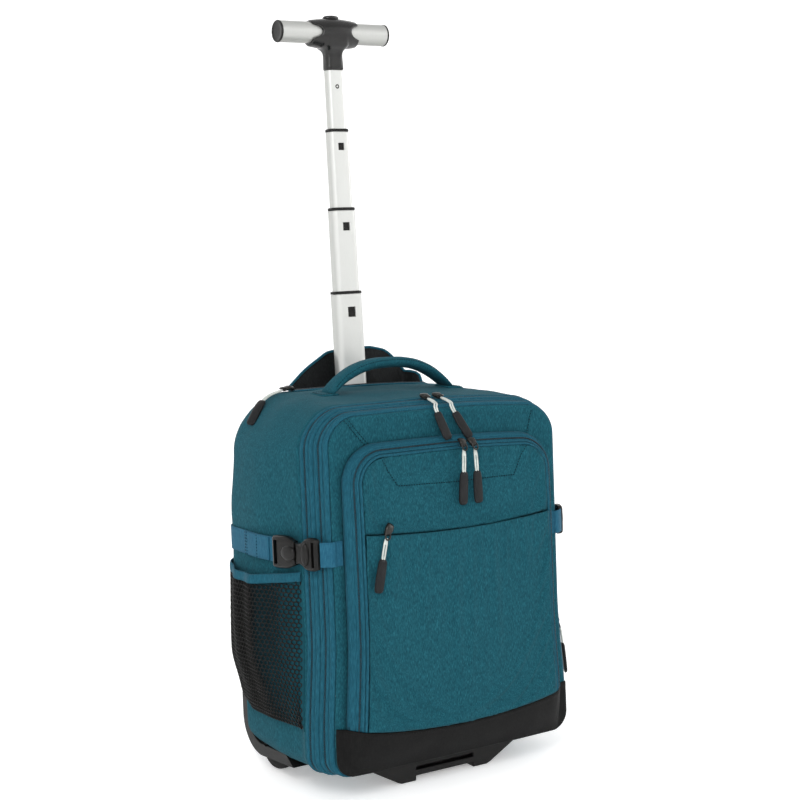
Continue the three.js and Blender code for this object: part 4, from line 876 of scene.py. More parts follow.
def mesh_place(y, z, lift=0.0):
    """Outer face of the stretched net at a depth and height."""
    up = np.clip((z - mesh_floor(y)) / (mesh_edge(y) - mesh_floor(y)), 0, 1)
    off = GAP + 1.2 + MESH_BULGE * np.sin(np.pi * mesh_share(y)) * up ** 0.7
    fold = 2.4 * np.sin(np.pi * mesh_share(y)) ** 0.5 * np.sin(y / 7.3 + z / 80 + 1.5 * np.sin(z / 50)) * up ** 0.6
    off = off + 9 * np.sin(np.pi * mesh_share(y)) ** 0.35 * np.sin(np.pi * up ** 0.6) ** 0.8
    return np.stack([-half_at(y) - np.maximum(off + fold, side_swell(y, z) + 0.8) - lift, y, z], -1)


def net_sheet(name, low, high, rows, columns, lift, finish):
    ys, ups = np.meshgrid(np.linspace(MESH_BACK, MESH_FRONT, columns), np.linspace(0, 1, rows))
    zs = low(ys) + (high(ys) - low(ys)) * ups
    return make(name, on_bag(mesh_place(ys, zs, lift)), quads(rows, columns), finish, BAG_MIDDLE)


# a sheet just behind the net that carries the painted shadow inside the pocket
net_shadow_sheet = thicken(net_sheet("mesh_pocket_shadow_sheet", mesh_floor, lambda y: mesh_edge(y) - BINDING, 44, 60, -1.2,
                                 net_painted_shadow), 0.6)
cell = 6.4
net_points, net_faces = [], []
columns, levels = int((MESH_BACK - MESH_FRONT) / (cell * 0.87)), int(200 / (cell * 0.75))
for column in range(columns):
    for level in range(levels):
        y = MESH_BACK - 1.6 - (column + 0.5 * (level % 2)) * cell * 0.87
        z = 66 + level * cell * 0.75
        if y < MESH_FRONT + 2 or not mesh_floor(y) + 2 < z < mesh_edge(y) - BINDING - 1:
            continue
        corners = [(y + 0.5 * cell * math.sin(a), z + 0.5 * cell * math.cos(a)) for a in np.arange(6) * math.pi / 3]
        net_faces.append(tuple(range(len(net_points), len(net_points) + 6)))
        net_points += corners
net_points = np.array(net_points)
net = make("mesh_pocket_net", on_bag(mesh_place(net_points[:, 0], net_points[:, 1], 0.2)), net_faces, net_black,
           BAG_MIDDLE)
weld = bmesh.new()
weld.from_mesh(net.data)
bmesh.ops.remove_doubles(weld, verts=weld.verts, dist=0.0008)
weld.to_mesh(net.data)
weld.free()
wires = net.modifiers.new("threads", "WIREFRAME")
wires.thickness, wires.use_replace, wires.use_even_offset = 0.0019, True, False
for piece in (net_shadow_sheet, net):
    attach(piece, "bag")
    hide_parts("mesh_pocket")
binding_profile = [(0, 0.2), (0.04, 1.3), (0.2, 1.8), (0.5, 1.9), (0.8, 1.8), (0.96, 1.3), (1, 0.2)]
ys = np.linspace(MESH_BACK, MESH_FRONT, 60)
binding_rows = [mesh_place(ys, mesh_edge(ys) - BINDING * (1 - up), out) for up, out in binding_profile]
binding = thicken(make("mesh_binding_tape", on_bag(binding_rows), quads(len(binding_rows), 60), tape_weave,
                       BAG_MIDDLE), 1.6)
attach(binding, "bag")
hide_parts("mesh_pocket_binding")

# Zipped side pocket on the right: a low full pocket of the bag's cloth, sewn down all round, with its
# zip under a flap of tape along the top.
SIDE_POCKET_TOP = 262
POCKET_BACK, POCKET_FRONT = BAG_BACK - 0.12 * BAG_DEPTH - 6, SIDE_FRONT + 4
ys, ups = np.meshgrid(np.linspace(POCKET_BACK, POCKET_FRONT, 60), np.linspace(0, 1, 60))
zs = HOUSING_TOP + GAP + (SIDE_POCKET_TOP - HOUSING_TOP - GAP) * ups
span = (POCKET_BACK - ys) / (POCKET_BACK - POCKET_FRONT)
full = 0.9 * MESH_BULGE * np.maximum(0, np.sin(np.pi * span)) ** 0.6 * np.sin(np.pi * ups) ** 0.5
full += 1.2 * lumps(np.stack([ys, zs, 0 * zs], -1), 40, 21)
side_grid = np.stack([half_at(ys) + np.maximum(full, side_swell(ys, zs) + 0.6) + GAP + CLOTH, ys, zs], -1)
rim = (ups < 0.001) | (ups > 0.999) | (span < 0.001) | (span > 0.999)
side_grid[..., 0] = np.where(rim, half_at(ys) + side_swell(ys, zs) + GAP, side_grid[..., 0])
side_pocket = thicken(make("side_pocket_cloth", on_bag(side_grid), quads(60, 60), heather_cloth, BAG_MIDDLE), 1.2)
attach(side_pocket, "bag")
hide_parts("side_pocket_right")

# Compression straps: flat polyester webbing from the back seam to a side-release buckle on the bag's
# front corner, and from its other half round the corner to the pocket's edge.
WEB, WEB_WALL, BUCKLE_LENGTH, BUCKLE_WIDTH, BUCKLE_THICK = 28, 1.8, 66, 37, 10
webbing_weave = woven_finish("webbing_weave", "124056", "1f5268", "2c6379", scale=1900.0, relief=0.00025,
                             roughness=0.75)
BUCKLE_TURN = math.radians(17.5)
UP = np.array([0, 0, 1.0])
BUCKLE_ALONG = np.array([math.sin(BUCKLE_TURN), -math.cos(BUCKLE_TURN), 0])
BUCKLE_OUT = np.array([-math.cos(BUCKLE_TURN), -math.sin(BUCKLE_TURN), 0])
BUCKLE_CENTRE = [-0.985 * BAG_HALF, SIDE_FRONT, STRAP_HEIGHT] + BUCKLE_OUT * (BUCKLE_THICK / 2 + 2 * GAP + 2)


def on_buckle(along, out, rise=0.0):
    return BUCKLE_CENTRE + BUCKLE_ALONG * along + BUCKLE_OUT * out + UP * rise


def smooth_path(points, count):
    """Evenly spaced places on one smooth curve through the points."""
    p = np.asarray(points, float)
    p = np.concatenate([[2 * p[0] - p[1]], p, [2 * p[-1] - p[-2]]])
    fine = []
    for i in range(1, len(p) - 2):
        t = np.linspace(0, 1, 24, endpoint=i == len(p) - 3)[:, None]
        a, b, c, d = p[i - 1:i + 3]
        bent, cubic = 2 * a - 5 * b + 4 * c - d, 3 * b - a - 3 * c + d
        fine.append(0.5 * (2 * b + (c - a) * t + bent * t ** 2 + cubic * t ** 3))
    fine = np.concatenate(fine)
    along = np.concatenate([[0], np.cumsum(np.linalg.norm(np.diff(fine, axis=0), axis=1))])
    marks = np.linspace(0, along[-1], count)
    return np.stack([np.interp(marks, along, fine[:, k]) for k in range(fine.shape[1])], 1)


def webbing_loops(path, tall, wall, lift=0.0):
    ahead = np.gradient(path, axis=0)
    outs = np.stack([ahead[:, 1], -ahead[:, 0], 0 * ahead[:, 0]], 1)
    outs /= np.linalg.norm(outs, axis=1, keepdims=True)
    heights = np.linspace(-0.48, 0.48, 9)
    rim = [(h, 1) for h in heights] + [(0.5, 0.65), (0.5, 0.35)]
    rim += [(h, 0) for h in heights[::-1]] + [(-0.5, 0.35), (-0.5, 0.65)]
    return np.array([[p + UP * h * tall + o * (lift + wall * t) for h, t in rim] for p, o in zip(path, outs)])


def mirror(points):
    return np.asarray(points) * [-1, 1, 1]


def side_point(y, out):
    return np.array([-half_at(y) - out, y, STRAP_HEIGHT])


end_lift = BUCKLE_THICK / 2 + GAP + WEB_WALL
rear_path = smooth_path([
    side_point(101.9, GAP), side_point(95.5, 0.8), side_point(78.6, 1.2), side_point(44.6, 2.6),
    on_buckle(-0.5 * BUCKLE_LENGTH + 1, -end_lift), on_buckle(-0.28 * BUCKLE_LENGTH, -end_lift)], 80)
front_path = smooth_path([
    on_buckle(0.53 * BUCKLE_LENGTH, -WEB_WALL), (-PANEL_HALF - 1, PANEL_FRONT - 2, STRAP_HEIGHT),
    (-PANEL_HALF + 5, PANEL_FRONT - GAP, STRAP_HEIGHT), (-POCKET_HALF - GAP, PANEL_FRONT - GAP, STRAP_HEIGHT)], 40)
for label, turn_over in (("left", np.asarray), ("right", mirror)):
    for node, path in (("rear", rear_path), ("front", front_path)):
        strap = solid(f"strap_{node}_webbing_{label}", on_bag(turn_over(webbing_loops(path, WEB, WEB_WALL))),
                      webbing_weave)
        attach(strap, "bag")
        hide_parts(f"strap_{node}_{label}")
    turned = solid(f"strap_fold_{label}",
                   on_bag(turn_over(webbing_loops(rear_path[36:66], WEB - 0.8, 1.5, WEB_WALL))), webbing_weave)
    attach(turned, "bag")
    bars = []
    for mark in (37, 39, 52):
        height = np.linspace(-12.5, 12.5, 12)
        path = rear_path[mark] + UP * height[:, None] + np.array([-WEB_WALL - 1.6, 0, 0])
        bars.append((on_bag(turn_over(path)), np.tile(turn_over([-1.0, 0, 0]), (12, 1)), False))
    tacks = bead_rows(f"strap_tacks_{label}", bars, STITCH, stitch_thread)
    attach(tacks, "bag")

# Side-release buckles: two moulded halves. The socket holds the rear strap on its bar, and the plug's
# arms spring into it; both are crowned and drawn in at the waist, where fingers press the arms.
buckle_plastic = moulded_finish("buckle_plastic", "080808", "191817", 0.28, relief=0.00005, Specular_IOR_Level=0.22)
# lower half of each outline, as shares of the buckle's length and width
SOCKET_OUTLINE = [(-0.5, -0.42), (-0.48, -0.48), (-0.42, -0.5), (-0.28, -0.5), (-0.2, -0.48), (-0.13, -0.43),
                  (-0.08, -0.38), (-0.05, -0.36)]
PLUG_OUTLINE = [(-0.05, -0.33), (0.02, -0.31), (0.08, -0.32), (0.14, -0.38), (0.2, -0.46), (0.28, -0.5), (0.4, -0.5),
                (0.48, -0.46), (0.5, -0.4)]
CROWN = [(0.93, -0.5), (1, -0.38), (1, 0.08), (0.97, 0.24), (0.9, 0.37), (0.78, 0.46), (0.6, 0.5)]
BARREL = [(1, 0.3), (0.96, 0.5), (0.84, 0.62), (0.62, 0.7), (0.3, 0.74)]


def buckle_half(name, outline, shift, thick, slot, turn_over):
    outline = outline + [(a, -b) for a, b in outline[::-1]]
    shape = np.array(outline) * [BUCKLE_LENGTH, BUCKLE_WIDTH] + [shift, 0]
    middle = shape.mean(0)
    loops = [[on_buckle(a, level * thick, b) for a, b in middle + (shape - middle) * size] for size, level in CROWN]
    half = solid(name, on_bag(turn_over(loops)), buckle_plastic)
    for a0, a1, b0, b1 in slot:
        corners = [(a0, b0), (a1, b0), (a1, b1), (a0, b1)]
        tool = [[on_buckle(a * BUCKLE_LENGTH + shift, level, b * BUCKLE_WIDTH) for a, b in corners]
                for level in (-20, 20)]
        carve(half, solid("slot", on_bag(turn_over(tool)), buckle_plastic, smooth=False))
    return soften(crisp(half, 40), 0.7)


def buckle_barrel(name, middle, long, wide, turn_over):
    loops = [[on_buckle((middle + long * size * math.cos(t)) * BUCKLE_LENGTH, level * BUCKLE_THICK,
                        wide * size * math.sin(t) * BUCKLE_WIDTH) for t in full_turn(32)] for size, level in BARREL]
    return solid(name, on_bag(turn_over(loops)), buckle_plastic)


for label, turn_over in (("left", np.asarray), ("right", mirror)):
    for name, middle, long, wide in (("guide", -0.16, 0.15, 0.24), ("thumb_a", 0.24, 0.09, 0.36)):
        rise = buckle_barrel(f"buckle_{name}_{label}", middle, long, wide, turn_over)
        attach(rise, "bag")
    socket = buckle_half(f"buckle_socket_shell_{label}", SOCKET_OUTLINE, 0, BUCKLE_THICK,
                         [(-0.45, -0.38, -0.37, 0.37)], turn_over)
    plug = buckle_half(f"buckle_plug_shell_{label}", PLUG_OUTLINE, GAP, 0.8 * BUCKLE_THICK,
                       [(0.38, 0.44, -0.38, 0.38)], turn_over)
    for half, node in ((socket, "socket"), (plug, "plug")):
        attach(half, "bag")
        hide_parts(f"buckle_{node}_{label}")

# Carry handle: a foam strip rolled in the bag's cloth, bowed over the top and sewn flat at both feet.
HANDLE_SPAN, HANDLE_RISE, HANDLE_WIDTH, HANDLE_THICK, HANDLE_SETBACK = 86, 32, 26, 13, 7
handle_foot = top_at(HANDLE_SETBACK + HANDLE_WIDTH / 2) + GAP
handle_loops = []
for u in np.linspace(-1, 1, 61):
    thick = (0.35 + 0.65 * (1 - abs(u) ** 6)) * HANDLE_THICK
    slope = -math.copysign(2.6 * abs(u) ** 1.6 * HANDLE_RISE / HANDLE_SPAN, u)
    across = np.array([-slope, 0, 1.0]) / math.hypot(slope, 1)
    if abs(u) == 1:
        across = np.array([u, 0, 0])
    centre = np.array([u * HANDLE_SPAN, HANDLE_SETBACK, handle_foot + HANDLE_RISE * (1 - abs(u) ** 2.6)])
    loop = []
    for angle in full_turn(24):
        c, s = math.cos(angle), math.sin(angle)
        flat = abs(c) ** 0.75 * (1 if c > 0 else -1)
        wide = HANDLE_WIDTH / 2 * flat * (1 + 0.2 * abs(u) ** 4)
        loop.append(centre + across * thick / 2 * s * (1 - 0.12 * flat ** 8) + [0, wide, 0])
    handle_loops.append(loop)
handle_loops = np.array(handle_loops)
handle_loops += 0.5 * lumps(handle_loops, 16, 31)[..., None] * [0, 0.5, 1]
handle = solid("carry_handle_roll", on_bag(handle_loops), heather_cloth)
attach(handle, "bag")
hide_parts("carry_handle")
handle_seams = []
FOOT_SHAPE = [(-12, -13), (-9, -15.5), (8, -15.5), (12, -13), (12, 13), (8, 15.5), (-9, 15.5), (-12, 13)]
for sign, label in ((-1, "left"), (1, "right")):
    patch_loops = []
    for grow, lift in ((0, 0.1), (0, 1.6), (-0.7, 2.3), (-3, 2.6)):
        places = [(sign * (HANDLE_SPAN + 3 + a * (1 + grow / 14)), HANDLE_SETBACK + b * (1 + grow / 15))
                  for a, b in FOOT_SHAPE]
        patch_loops.append([(x, y, float(top_at(y)) + lift - 0.022 * max(0, abs(x) - 92) ** 1.5) for x, y in places])
    patch = solid(f"handle_foot_{label}", on_bag(patch_loops), heather_cloth)
    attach(patch, "bag")
    box = np.array([(x * 0.74, y * 0.8) for x, y in FOOT_SHAPE])
    box = [np.array([sign * (HANDLE_SPAN + 4 + a), HANDLE_SETBACK + b]) for a, b in box]
    path = [(x, y, float(top_at(y)) + 2.7 - 0.022 * max(0, abs(x) - 92) ** 1.5) for x, y in box]
    handle_seams.append((on_bag(path), np.tile([0.0, 0, 1.0], (len(path), 1)), True))
for index in (2, 10):
    rail = handle_loops[3:-3, index]
    handle_seams.append((on_bag(rail + [0, 0, 0.15]), np.tile([0.0, 0, 1.0], (len(rail), 1)), False))
handle_stitches = bead_rows("handle_stitches", handle_seams, STITCH, stitch_thread)
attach(handle_stitches, "bag")

# Pole cover: a flap of the bag's cloth lined with black twill, its rim bound with tape. It is unzipped
# and stands up behind the pole; its zip runs along the front of the pole's mouth.
FLAP_HALF, FLAP_RISE = 88, 54
FLAP_RIM = np.array([[-1, 0.1], [-0.85, 0.28], [-0.5, 0.72], [-0.22, 1], [0.1, 1.04], [0.5, 1.08], [0.72, 1],
                     [0.88, 0.66], [1, 0.14]])
FINE_U = np.linspace(-1, 1, 201)
FLAP_RIM_FINE = smoothed(FLAP_RIM, FINE_U, 21)


def flap_place(u, v, deep):
    fold = 2.2 * np.sin(u * 9 + 1.2) * v * (1 - 0.4 * v)
    x = u * FLAP_HALF + np.where(u < 0, 5 * eased_step(u, -0.84, -1), 13 * eased_step(u, 0.5, 1))
    y = BAG_BACK + 3.5 + 7 * v - 3 * u * u - np.where(u < 0, 12, 24) * eased_step(abs(u), 0.87, 1)
    half, _, _, corner = body_row(y)
    past = np.clip(abs(x) - (half * BAG_HALF - corner * TOP_CORNER), 0, 60)
    base = top_at(y) + GAP - past ** 2 / (2 * TOP_CORNER)
    return np.stack([x, y + deep + fold, base + v * FLAP_RISE * np.interp(u, FINE_U, FLAP_RIM_FINE)], -1)


us, vs = np.meshgrid(np.linspace(-1, 1, 70), np.linspace(0, 1, 22))
flap_grid = flap_place(us, vs, 1.8)
flap_grid[..., 1] += 0.8 * lumps(flap_grid, 22, 41) * vs
flap_in = np.cross(np.gradient(flap_grid, axis=1), np.gradient(flap_grid, axis=0))
flap_in *= np.sign((flap_in * ([0, 60, 460] - flap_grid)).sum(-1, keepdims=True))
flap_in /= np.linalg.norm(flap_in, axis=-1, keepdims=True)
flap = thicken(make("pole_cover_cloth", on_bag(flap_grid), quads(22, 70), heather_cloth, on_bag([0, 60, 450])), 1.0)
lining_grid = flap_grid + flap_in * (1.4 + 0.5 * np.abs(lumps(flap_grid, 13, 43)) * vs)[..., None]
lining = thicken(make("pole_cover_lining", on_bag(lining_grid), quads(22, 70), lining_black, on_bag([0, 400, 450])),
                 0.5)
edge_grid = flap_grid + flap_in * 0.9
rim_path = np.concatenate([edge_grid[::3, 0][:-1], edge_grid[-1], edge_grid[::-3, -1][1:]])


def cord_loops(path, radius, sides=8):
    """Round loops along a path, for cords, bindings and wire."""
    ahead = np.gradient(path, axis=0)
    ahead /= np.linalg.norm(ahead, axis=1, keepdims=True)
    side = np.cross(ahead, np.tile([0.13, 1.0, 0.21], (len(path), 1)))
    side /= np.linalg.norm(side, axis=1, keepdims=True)
    top = np.cross(side, ahead)
    angles = full_turn(sides)[None, :, None]
    return path[:, None] + radius * (np.cos(angles) * side[:, None] + np.sin(angles) * top[:, None])


rim = solid("pole_cover_binding", on_bag(cord_loops(rim_path, 1.7)), tape_weave)
mouth_line = np.linspace(-96, 96, 80)
COVER_TAPE = [(75.8, -0.8), (75.6, 0.9), (73.6, 1.1), (73.2, 0.3), (69.2, 0.3), (68.8, 1.1), (64.4, 1.0), (63.6, 0.1)]


def along_mouth(y, lift):
    return np.stack([mouth_line, np.full(80, y), np.full(80, float(top_at(y)) + lift)], 1)


zip_rows = [along_mouth(y, lift) for y, lift in COVER_TAPE]
cover_tape = thicken(make("pole_cover_zip_tape", on_bag(zip_rows), quads(8, 80), tape_weave, BAG_MIDDLE), 0.8)
cover_path = along_mouth(71.2, 0.7)
cover_coil = bead_rows("pole_cover_coil", [(on_bag(cover_path), np.tile([0.0, 0.07, 1.0], (80, 1)), False)],
                       (1.9, 1.4, 4.4, 3.0), coil_nylon)
for piece, slot_name in ((flap, "cloth"), (lining, "cloth"), (rim, "webbing"), (cover_tape, "webbing"),
                         (cover_coil, "black_plastic")):
    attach(piece, "bag")
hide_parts("pole_cover_flap")

# Shoulder straps: padded with foam, covered in the bag's cloth and edged with tape, sewn in below the
# cover and near the bottom corners. They hang in a shallow bow behind the back panel.
SHOULDER_ROWS = np.array([[0, 0.3, 0], [0.06, 0.3, 0.35], [0.25, 0.34, 0.85], [0.5, 0.42, 1], [0.75, 0.56, 0.75],
                          [0.94, 0.68, 0.3], [1, 0.71, 0]])
PAD_WIDTH, PAD_THICK, ARM_LOOP = 54, 10, 27
shoulder_top, shoulder_low = top_at(BAG_BACK) - 26, BAG_CLEAR + 0.17 * BAG_HEIGHT
downs = np.linspace(0, 1, 60)
centre_line = np.stack([
    np.interp(downs, SHOULDER_ROWS[:, 0], SHOULDER_ROWS[:, 1]) * BAG_HALF,
    BAG_BACK + 2 * GAP + BACK_PAD + ARM_LOOP * smoothed(SHOULDER_ROWS[:, [0, 2]], downs, 7),
    shoulder_top + (shoulder_low - shoulder_top) * downs], 1)
for label, turn_over in (("right", np.asarray), ("left", mirror)):
    loops = []
    for down, centre in zip(downs, centre_line):
        width = PAD_WIDTH * (0.7 + 0.3 * min(1, down / 0.06, (1 - down) / 0.06))
        loop = []
        for angle in full_turn(28):
            c, s = math.cos(angle), math.sin(angle)
            a = abs(c) ** 0.6 * math.copysign(0.5, c)
            crown = 0.5 + 0.5 * abs(s) ** 0.7 * math.copysign(1, s) * (1 if s > 0 else 0.9)
            loop.append(centre + [a * width, PAD_THICK * crown, 0])
        loops.append(loop)
    loops = np.array(loops)
    loops[..., 1] += 0.5 * lumps(loops, 26, 51) * np.sin(np.pi * downs)[:, None]
    strap = solid(f"shoulder_strap_pad_{label}", on_bag(turn_over(loops)), heather_cloth)
    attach(strap, "bag")
    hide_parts(f"shoulder_strap_{label}")
    for index in (0, 14):
        edge = solid(f"shoulder_edge_{label}_{index}", on_bag(turn_over(cord_loops(loops[:, index], 1.5))),
                     tape_weave)
        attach(edge, "bag")

# Zip pulls: each has a dark metal slider, a wire ring, a doubled pale cord and a moulded rubber tab.
TAB_LENGTH, TAB_WIDTH, TAB_THICK, PULL_DROP, SLIDER = 38, 11.5, 4.2, 35, 12
PIPING_PROUD, MAIN_REACH = 1.6, 40
pull_rubber = moulded_finish("pull_rubber", "0a0b0c", "1c1d1f", 0.5, relief=0.00008, Specular_IOR_Level=0.2)
pull_cord = moulded_finish("pull_cord", "9aa19d", "dfe2dc", 0.75, relief=0.0002, scale=2600.0)
slider_metal = moulded_finish("slider_metal", "1a1a1a", "3c3a37", 0.3, metallic=0.7, relief=0.00003)


def face_pull(x, z, drift, lift):
    def under(a, b):
        return float(pocket_y(a, b, lift + (LAP if b < slit_at(a) else 0)))
    places = [(x, z), (x + 0.3 * drift, z - 12), (x + drift, z - PULL_DROP - TAB_LENGTH)]
    front = min([under(a, b) for a, b in places] + [under(x, z - PULL_DROP)]) - 0.6
    seat = under(x, z - SLIDER) + GAP
    return [((a, front if i else seat, b), (0, -1, 0)) for i, (a, b) in enumerate(places)]


main_zip_y = SIDE_FRONT - 0.5 * BANDS[0][2] * STACK


def over_edge(x, bend_x, end_x):
    top = float(top_at(GROOVE))
    end_z = top - MAIN_REACH
    return [
        ((x, main_zip_y, top_at(main_zip_y) + PIPING_PROUD + 0.6), (0, 0, 1)),
        ((x + 0.6 * (bend_x - x), GROOVE, top + PIPING_PROUD + 1.5), (0, -0.4, 1)),
        ((bend_x, PANEL_FRONT - 3, top - 3), (0, -1, 0.3)),
        ((end_x, float(pocket_y(end_x, end_z, GAP + 1)), end_z), (0, -1, 0)),
    ]


cover_y = MOUTH_FRONT - 6
cover_row = body_row(cover_y)
shoulder_radius = cover_row[3] * TOP_CORNER
shoulder_x, shoulder_z = -cover_row[0] * BAG_HALF + shoulder_radius, top_at(cover_y) - shoulder_radius


def on_shoulder(angle, drift, lift):
    c, s = math.cos(math.radians(angle)), math.sin(math.radians(angle))
    return ((shoulder_x + (shoulder_radius + 1.4 + lift) * c, cover_y - drift,
             shoulder_z + (shoulder_radius + 1.4 + lift) * s), (c, -0.035 * drift, s))


side_out = np.array([STACK, -(half_at(SIDE_FRONT) - half_at(GROOVE)), 0])
side_out /= np.linalg.norm(side_out)
side_stops = [(np.array([half_at(main_zip_y), main_zip_y, 0.6 * SIDE_POCKET_TOP - down]) + side_out * (lift + 0.4),
               side_out)
              for down, lift in ((0, 1), (SLIDER + 4, 3), (0.6 * PULL_DROP, 6), (PULL_DROP + TAB_LENGTH, 7))]
POCKET_ZIP, SLIT_PULL_X = POCKET_TOP - 6.25, -0.69 * POCKET_HALF
PULLS = [
    ("pull_pocket_1", face_pull(5, POCKET_ZIP, -5, PIPING_PROUD - 3 * GAP)),
    ("pull_pocket_2", face_pull(18, POCKET_ZIP, 4, PIPING_PROUD - 3 * GAP)),
    ("pull_slit", face_pull(SLIT_PULL_X, float(slit_at(SLIT_PULL_X)) + 11, -20, -GAP)),
    ("pull_main_1", over_edge(-9, -14, -6)), ("pull_main_2", over_edge(8, 9, 24)),
    ("pull_cover", [((shoulder_x + 2, cover_y, shoulder_z + shoulder_radius + 1), (0, 0, 1)),
                    on_shoulder(98, 2, 0), on_shoulder(122, 9, 2), on_shoulder(150, 20, 2.4)]),
    ("pull_side", side_stops),
]
TAB_OUTLINE = [(0, 0.5), (0.03, 0.74), (0.1, 0.88), (0.25, 0.96), (0.5, 1), (0.8, 1), (0.9, 0.96), (0.96, 0.82),
               (1, 0.5)]
SLIDER_OUTLINE = [(-2, 6.4, 2.8), (0, 9.2, 5), (5.5, 10, 6), (10, 8, 5), (12.5, 5.2, 2.4)]
for node, stops in PULLS:
    route = smooth_path([np.concatenate([at, out]) for at, out in stops], 240)
    at, out = route[:, :3], route[:, 3:]
    along = np.concatenate([[0], np.cumsum(np.linalg.norm(np.diff(at, axis=0), axis=1))])
    total = along[-1]

    def frame_at(distance):
        p = np.array([np.interp(distance, along, at[:, k]) for k in range(3)])
        before, after = max(distance - 1.5, 0), min(max(distance, 0) + 1.5, total)
        ahead = np.array([np.interp(after, along, at[:, k]) - np.interp(before, along, at[:, k]) for k in range(3)])
        o = np.array([np.interp(distance, along, out[:, k]) for k in range(3)])
        ahead /= np.linalg.norm(ahead)
        p += ahead * min(distance, 0)
        side = np.cross(ahead, o)
        side /= np.linalg.norm(side)
        return p, ahead, side, np.cross(side, ahead)

    def loop_at(distance, width, low, high, sides=16, square=0.6):
        p, _, side, lift = frame_at(distance)
        ring = []
        for angle in full_turn(sides):
            c, s = math.cos(angle), math.sin(angle)
            a = 0.5 * width * abs(c) ** square * math.copysign(1, c)
            b = (low + high) / 2 + 0.5 * (high - low) * abs(s) ** square * math.copysign(1, s)
            ring.append(p + side * a + lift * b)
        return ring

    tab_start = total - TAB_LENGTH
    tab_loops = []
    for share, size in TAB_OUTLINE:
        thick = TAB_THICK * min(1, size + 0.1)
        tab_loops.append(loop_at(tab_start + share * TAB_LENGTH, TAB_WIDTH * size,
                                 0.25 + 0.5 * (TAB_THICK - thick), thick + 0.2))
    tab = solid(f"{node}_tab", on_bag(tab_loops), pull_rubber)
    body = solid(f"{node}_slider", on_bag([loop_at(d, w, 0.2, h) for d, w, h in SLIDER_OUTLINE]), slider_metal)
    p, ahead, side, lift = frame_at(SLIDER)
    link_path = np.array([p + ahead * (5 * math.cos(t)) + side * (3.3 * math.sin(t)) + lift * (4.2 + 0.6 * math.cos(t))
                          for t in full_turn(24)])
    link_loops = cord_loops(np.concatenate([link_path[-1:], link_path, link_path[:1]]), 0.9)[1:-1]
    ring = solid(f"{node}_ring", on_bag(link_loops), slider_metal, joined=True)
    strands = []
    for spread in (-1, 1):
        marks = np.linspace(SLIDER + 3, tab_start + 3, 26)
        strand = []
        for d in marks:
            p, _, side, lift = frame_at(d)
            gape = 1.5 * min(1, 0.35 + (d - marks[0]) / 9, 0.75 + (marks[-1] - d) / 30)
            strand.append(p + side * spread * gape + lift * 2.2)
        strands.append(solid(f"{node}_cord_{'a' if spread < 0 else 'b'}", on_bag(cord_loops(np.array(strand), 1.1)),
                             pull_cord))
    wrap_loops = [loop_at(SLIDER + d, w, 0.5, 3.2, 12, 0.8) for d, w in ((7, 3.6), (7.6, 4.4), (9.6, 4.4), (10.2, 3.6))]
    wrap = solid(f"{node}_cord_wrap", on_bag(wrap_loops), pull_cord)
    for piece, slot_name in ((tab, "pull_rubber"), (body, "black_plastic"), (ring, "black_plastic"),
                             (wrap, "pull_rubber"), *((s, "pull_rubber") for s in strands)):
        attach(piece, "bag")
    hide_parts(node)

# Front foot: one black moulding under the boot, with two pads that meet the floor, a raised bar between
# them and a long slot through its face.
FOOT_FRONT, FOOT_DEPTH, FOOT_HALF, NOTCH_HALF, NOTCH = -85, 34, 62, 41, 6


def underside(y):
    return (BAG_CLEAR - PIPING_PROUD - GAP - y * math.sin(LEAN)) / math.cos(LEAN)


def on_floor(points):
    return (np.asarray(points, float) - [0, FOOTPRINT_SHIFT, 0]) / 1000


top = underside(FOOT_FRONT) + 1
foot_face = [(-FOOT_HALF - 40, top), (-FOOT_HALF - 38, 21), (-FOOT_HALF - 4, 2), (-FOOT_HALF + 1, 0),
             (-NOTCH_HALF, 0), (-NOTCH_HALF, NOTCH)]
foot_face += [(-x, z) for x, z in foot_face[::-1]]
FOOT_BACK = FOOT_FRONT + FOOT_DEPTH
foot_side = [(FOOT_FRONT, 0), (FOOT_BACK, 0), (FOOT_BACK + 10, underside(FOOT_BACK + 10)),
             (FOOT_FRONT, underside(FOOT_FRONT))]
foot_ends = [[(x, y, z) for x, z in foot_face] for y in (FOOT_FRONT - 5, FOOT_BACK + 15)]
foot = solid("front_foot_moulding", on_floor(foot_ends), black_plastic, smooth=False)
slope = [[(x, y, z) for y, z in foot_side] for x in (-180, 180)]
carve(foot, solid("slope", on_floor(slope), black_plastic, smooth=False), "INTERSECT")
slot_box = [(-NOTCH_HALF, 13), (NOTCH_HALF, 13), (NOTCH_HALF, 18), (-NOTCH_HALF, 18)]
slot_ends = [[(x, y, z) for x, z in slot_box] for y in (FOOT_FRONT - 8, FOOT_FRONT + 8)]
carve(foot, solid("slot", on_floor(slot_ends), black_plastic, smooth=False))
soften(crisp(foot, 30), 1.0)
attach(foot, "bag")
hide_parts("front_foot")

# Pull handle: four anodised aluminium stages, each sliding in the next and guided by a black collar at
# its mouth. Spring blocks show in the stages' windows, where they lock the stage above.
POLE_LEAN, POLE_TOP = math.radians(1.78), 448.174
POLE_WALL, SIDE_CLEAR, POLE_CLEAR = 1.1, 1.4, 0.4
TOP_WIDTH, TOP_DEPTH, COLLAR, COLLAR_PROUD, SLEEVE_DROP = 23, 14, 3.4, 0.2, 39
# name, length in view, length inside the next stage, window width, height and drop from the top
STAGES = [("tube_1", 71.4, 32, None), ("tube_2", 92.5, 34, (8.3, 9, 18)), ("tube_3", 98.9, 38, (9.6, 10.3, 19.6)),
          ("tube_4", 146, 40, (10.8, 12.6, 22))]
POLE_BODIES = ["grip", "stage_2", "stage_3", "stage_4"]


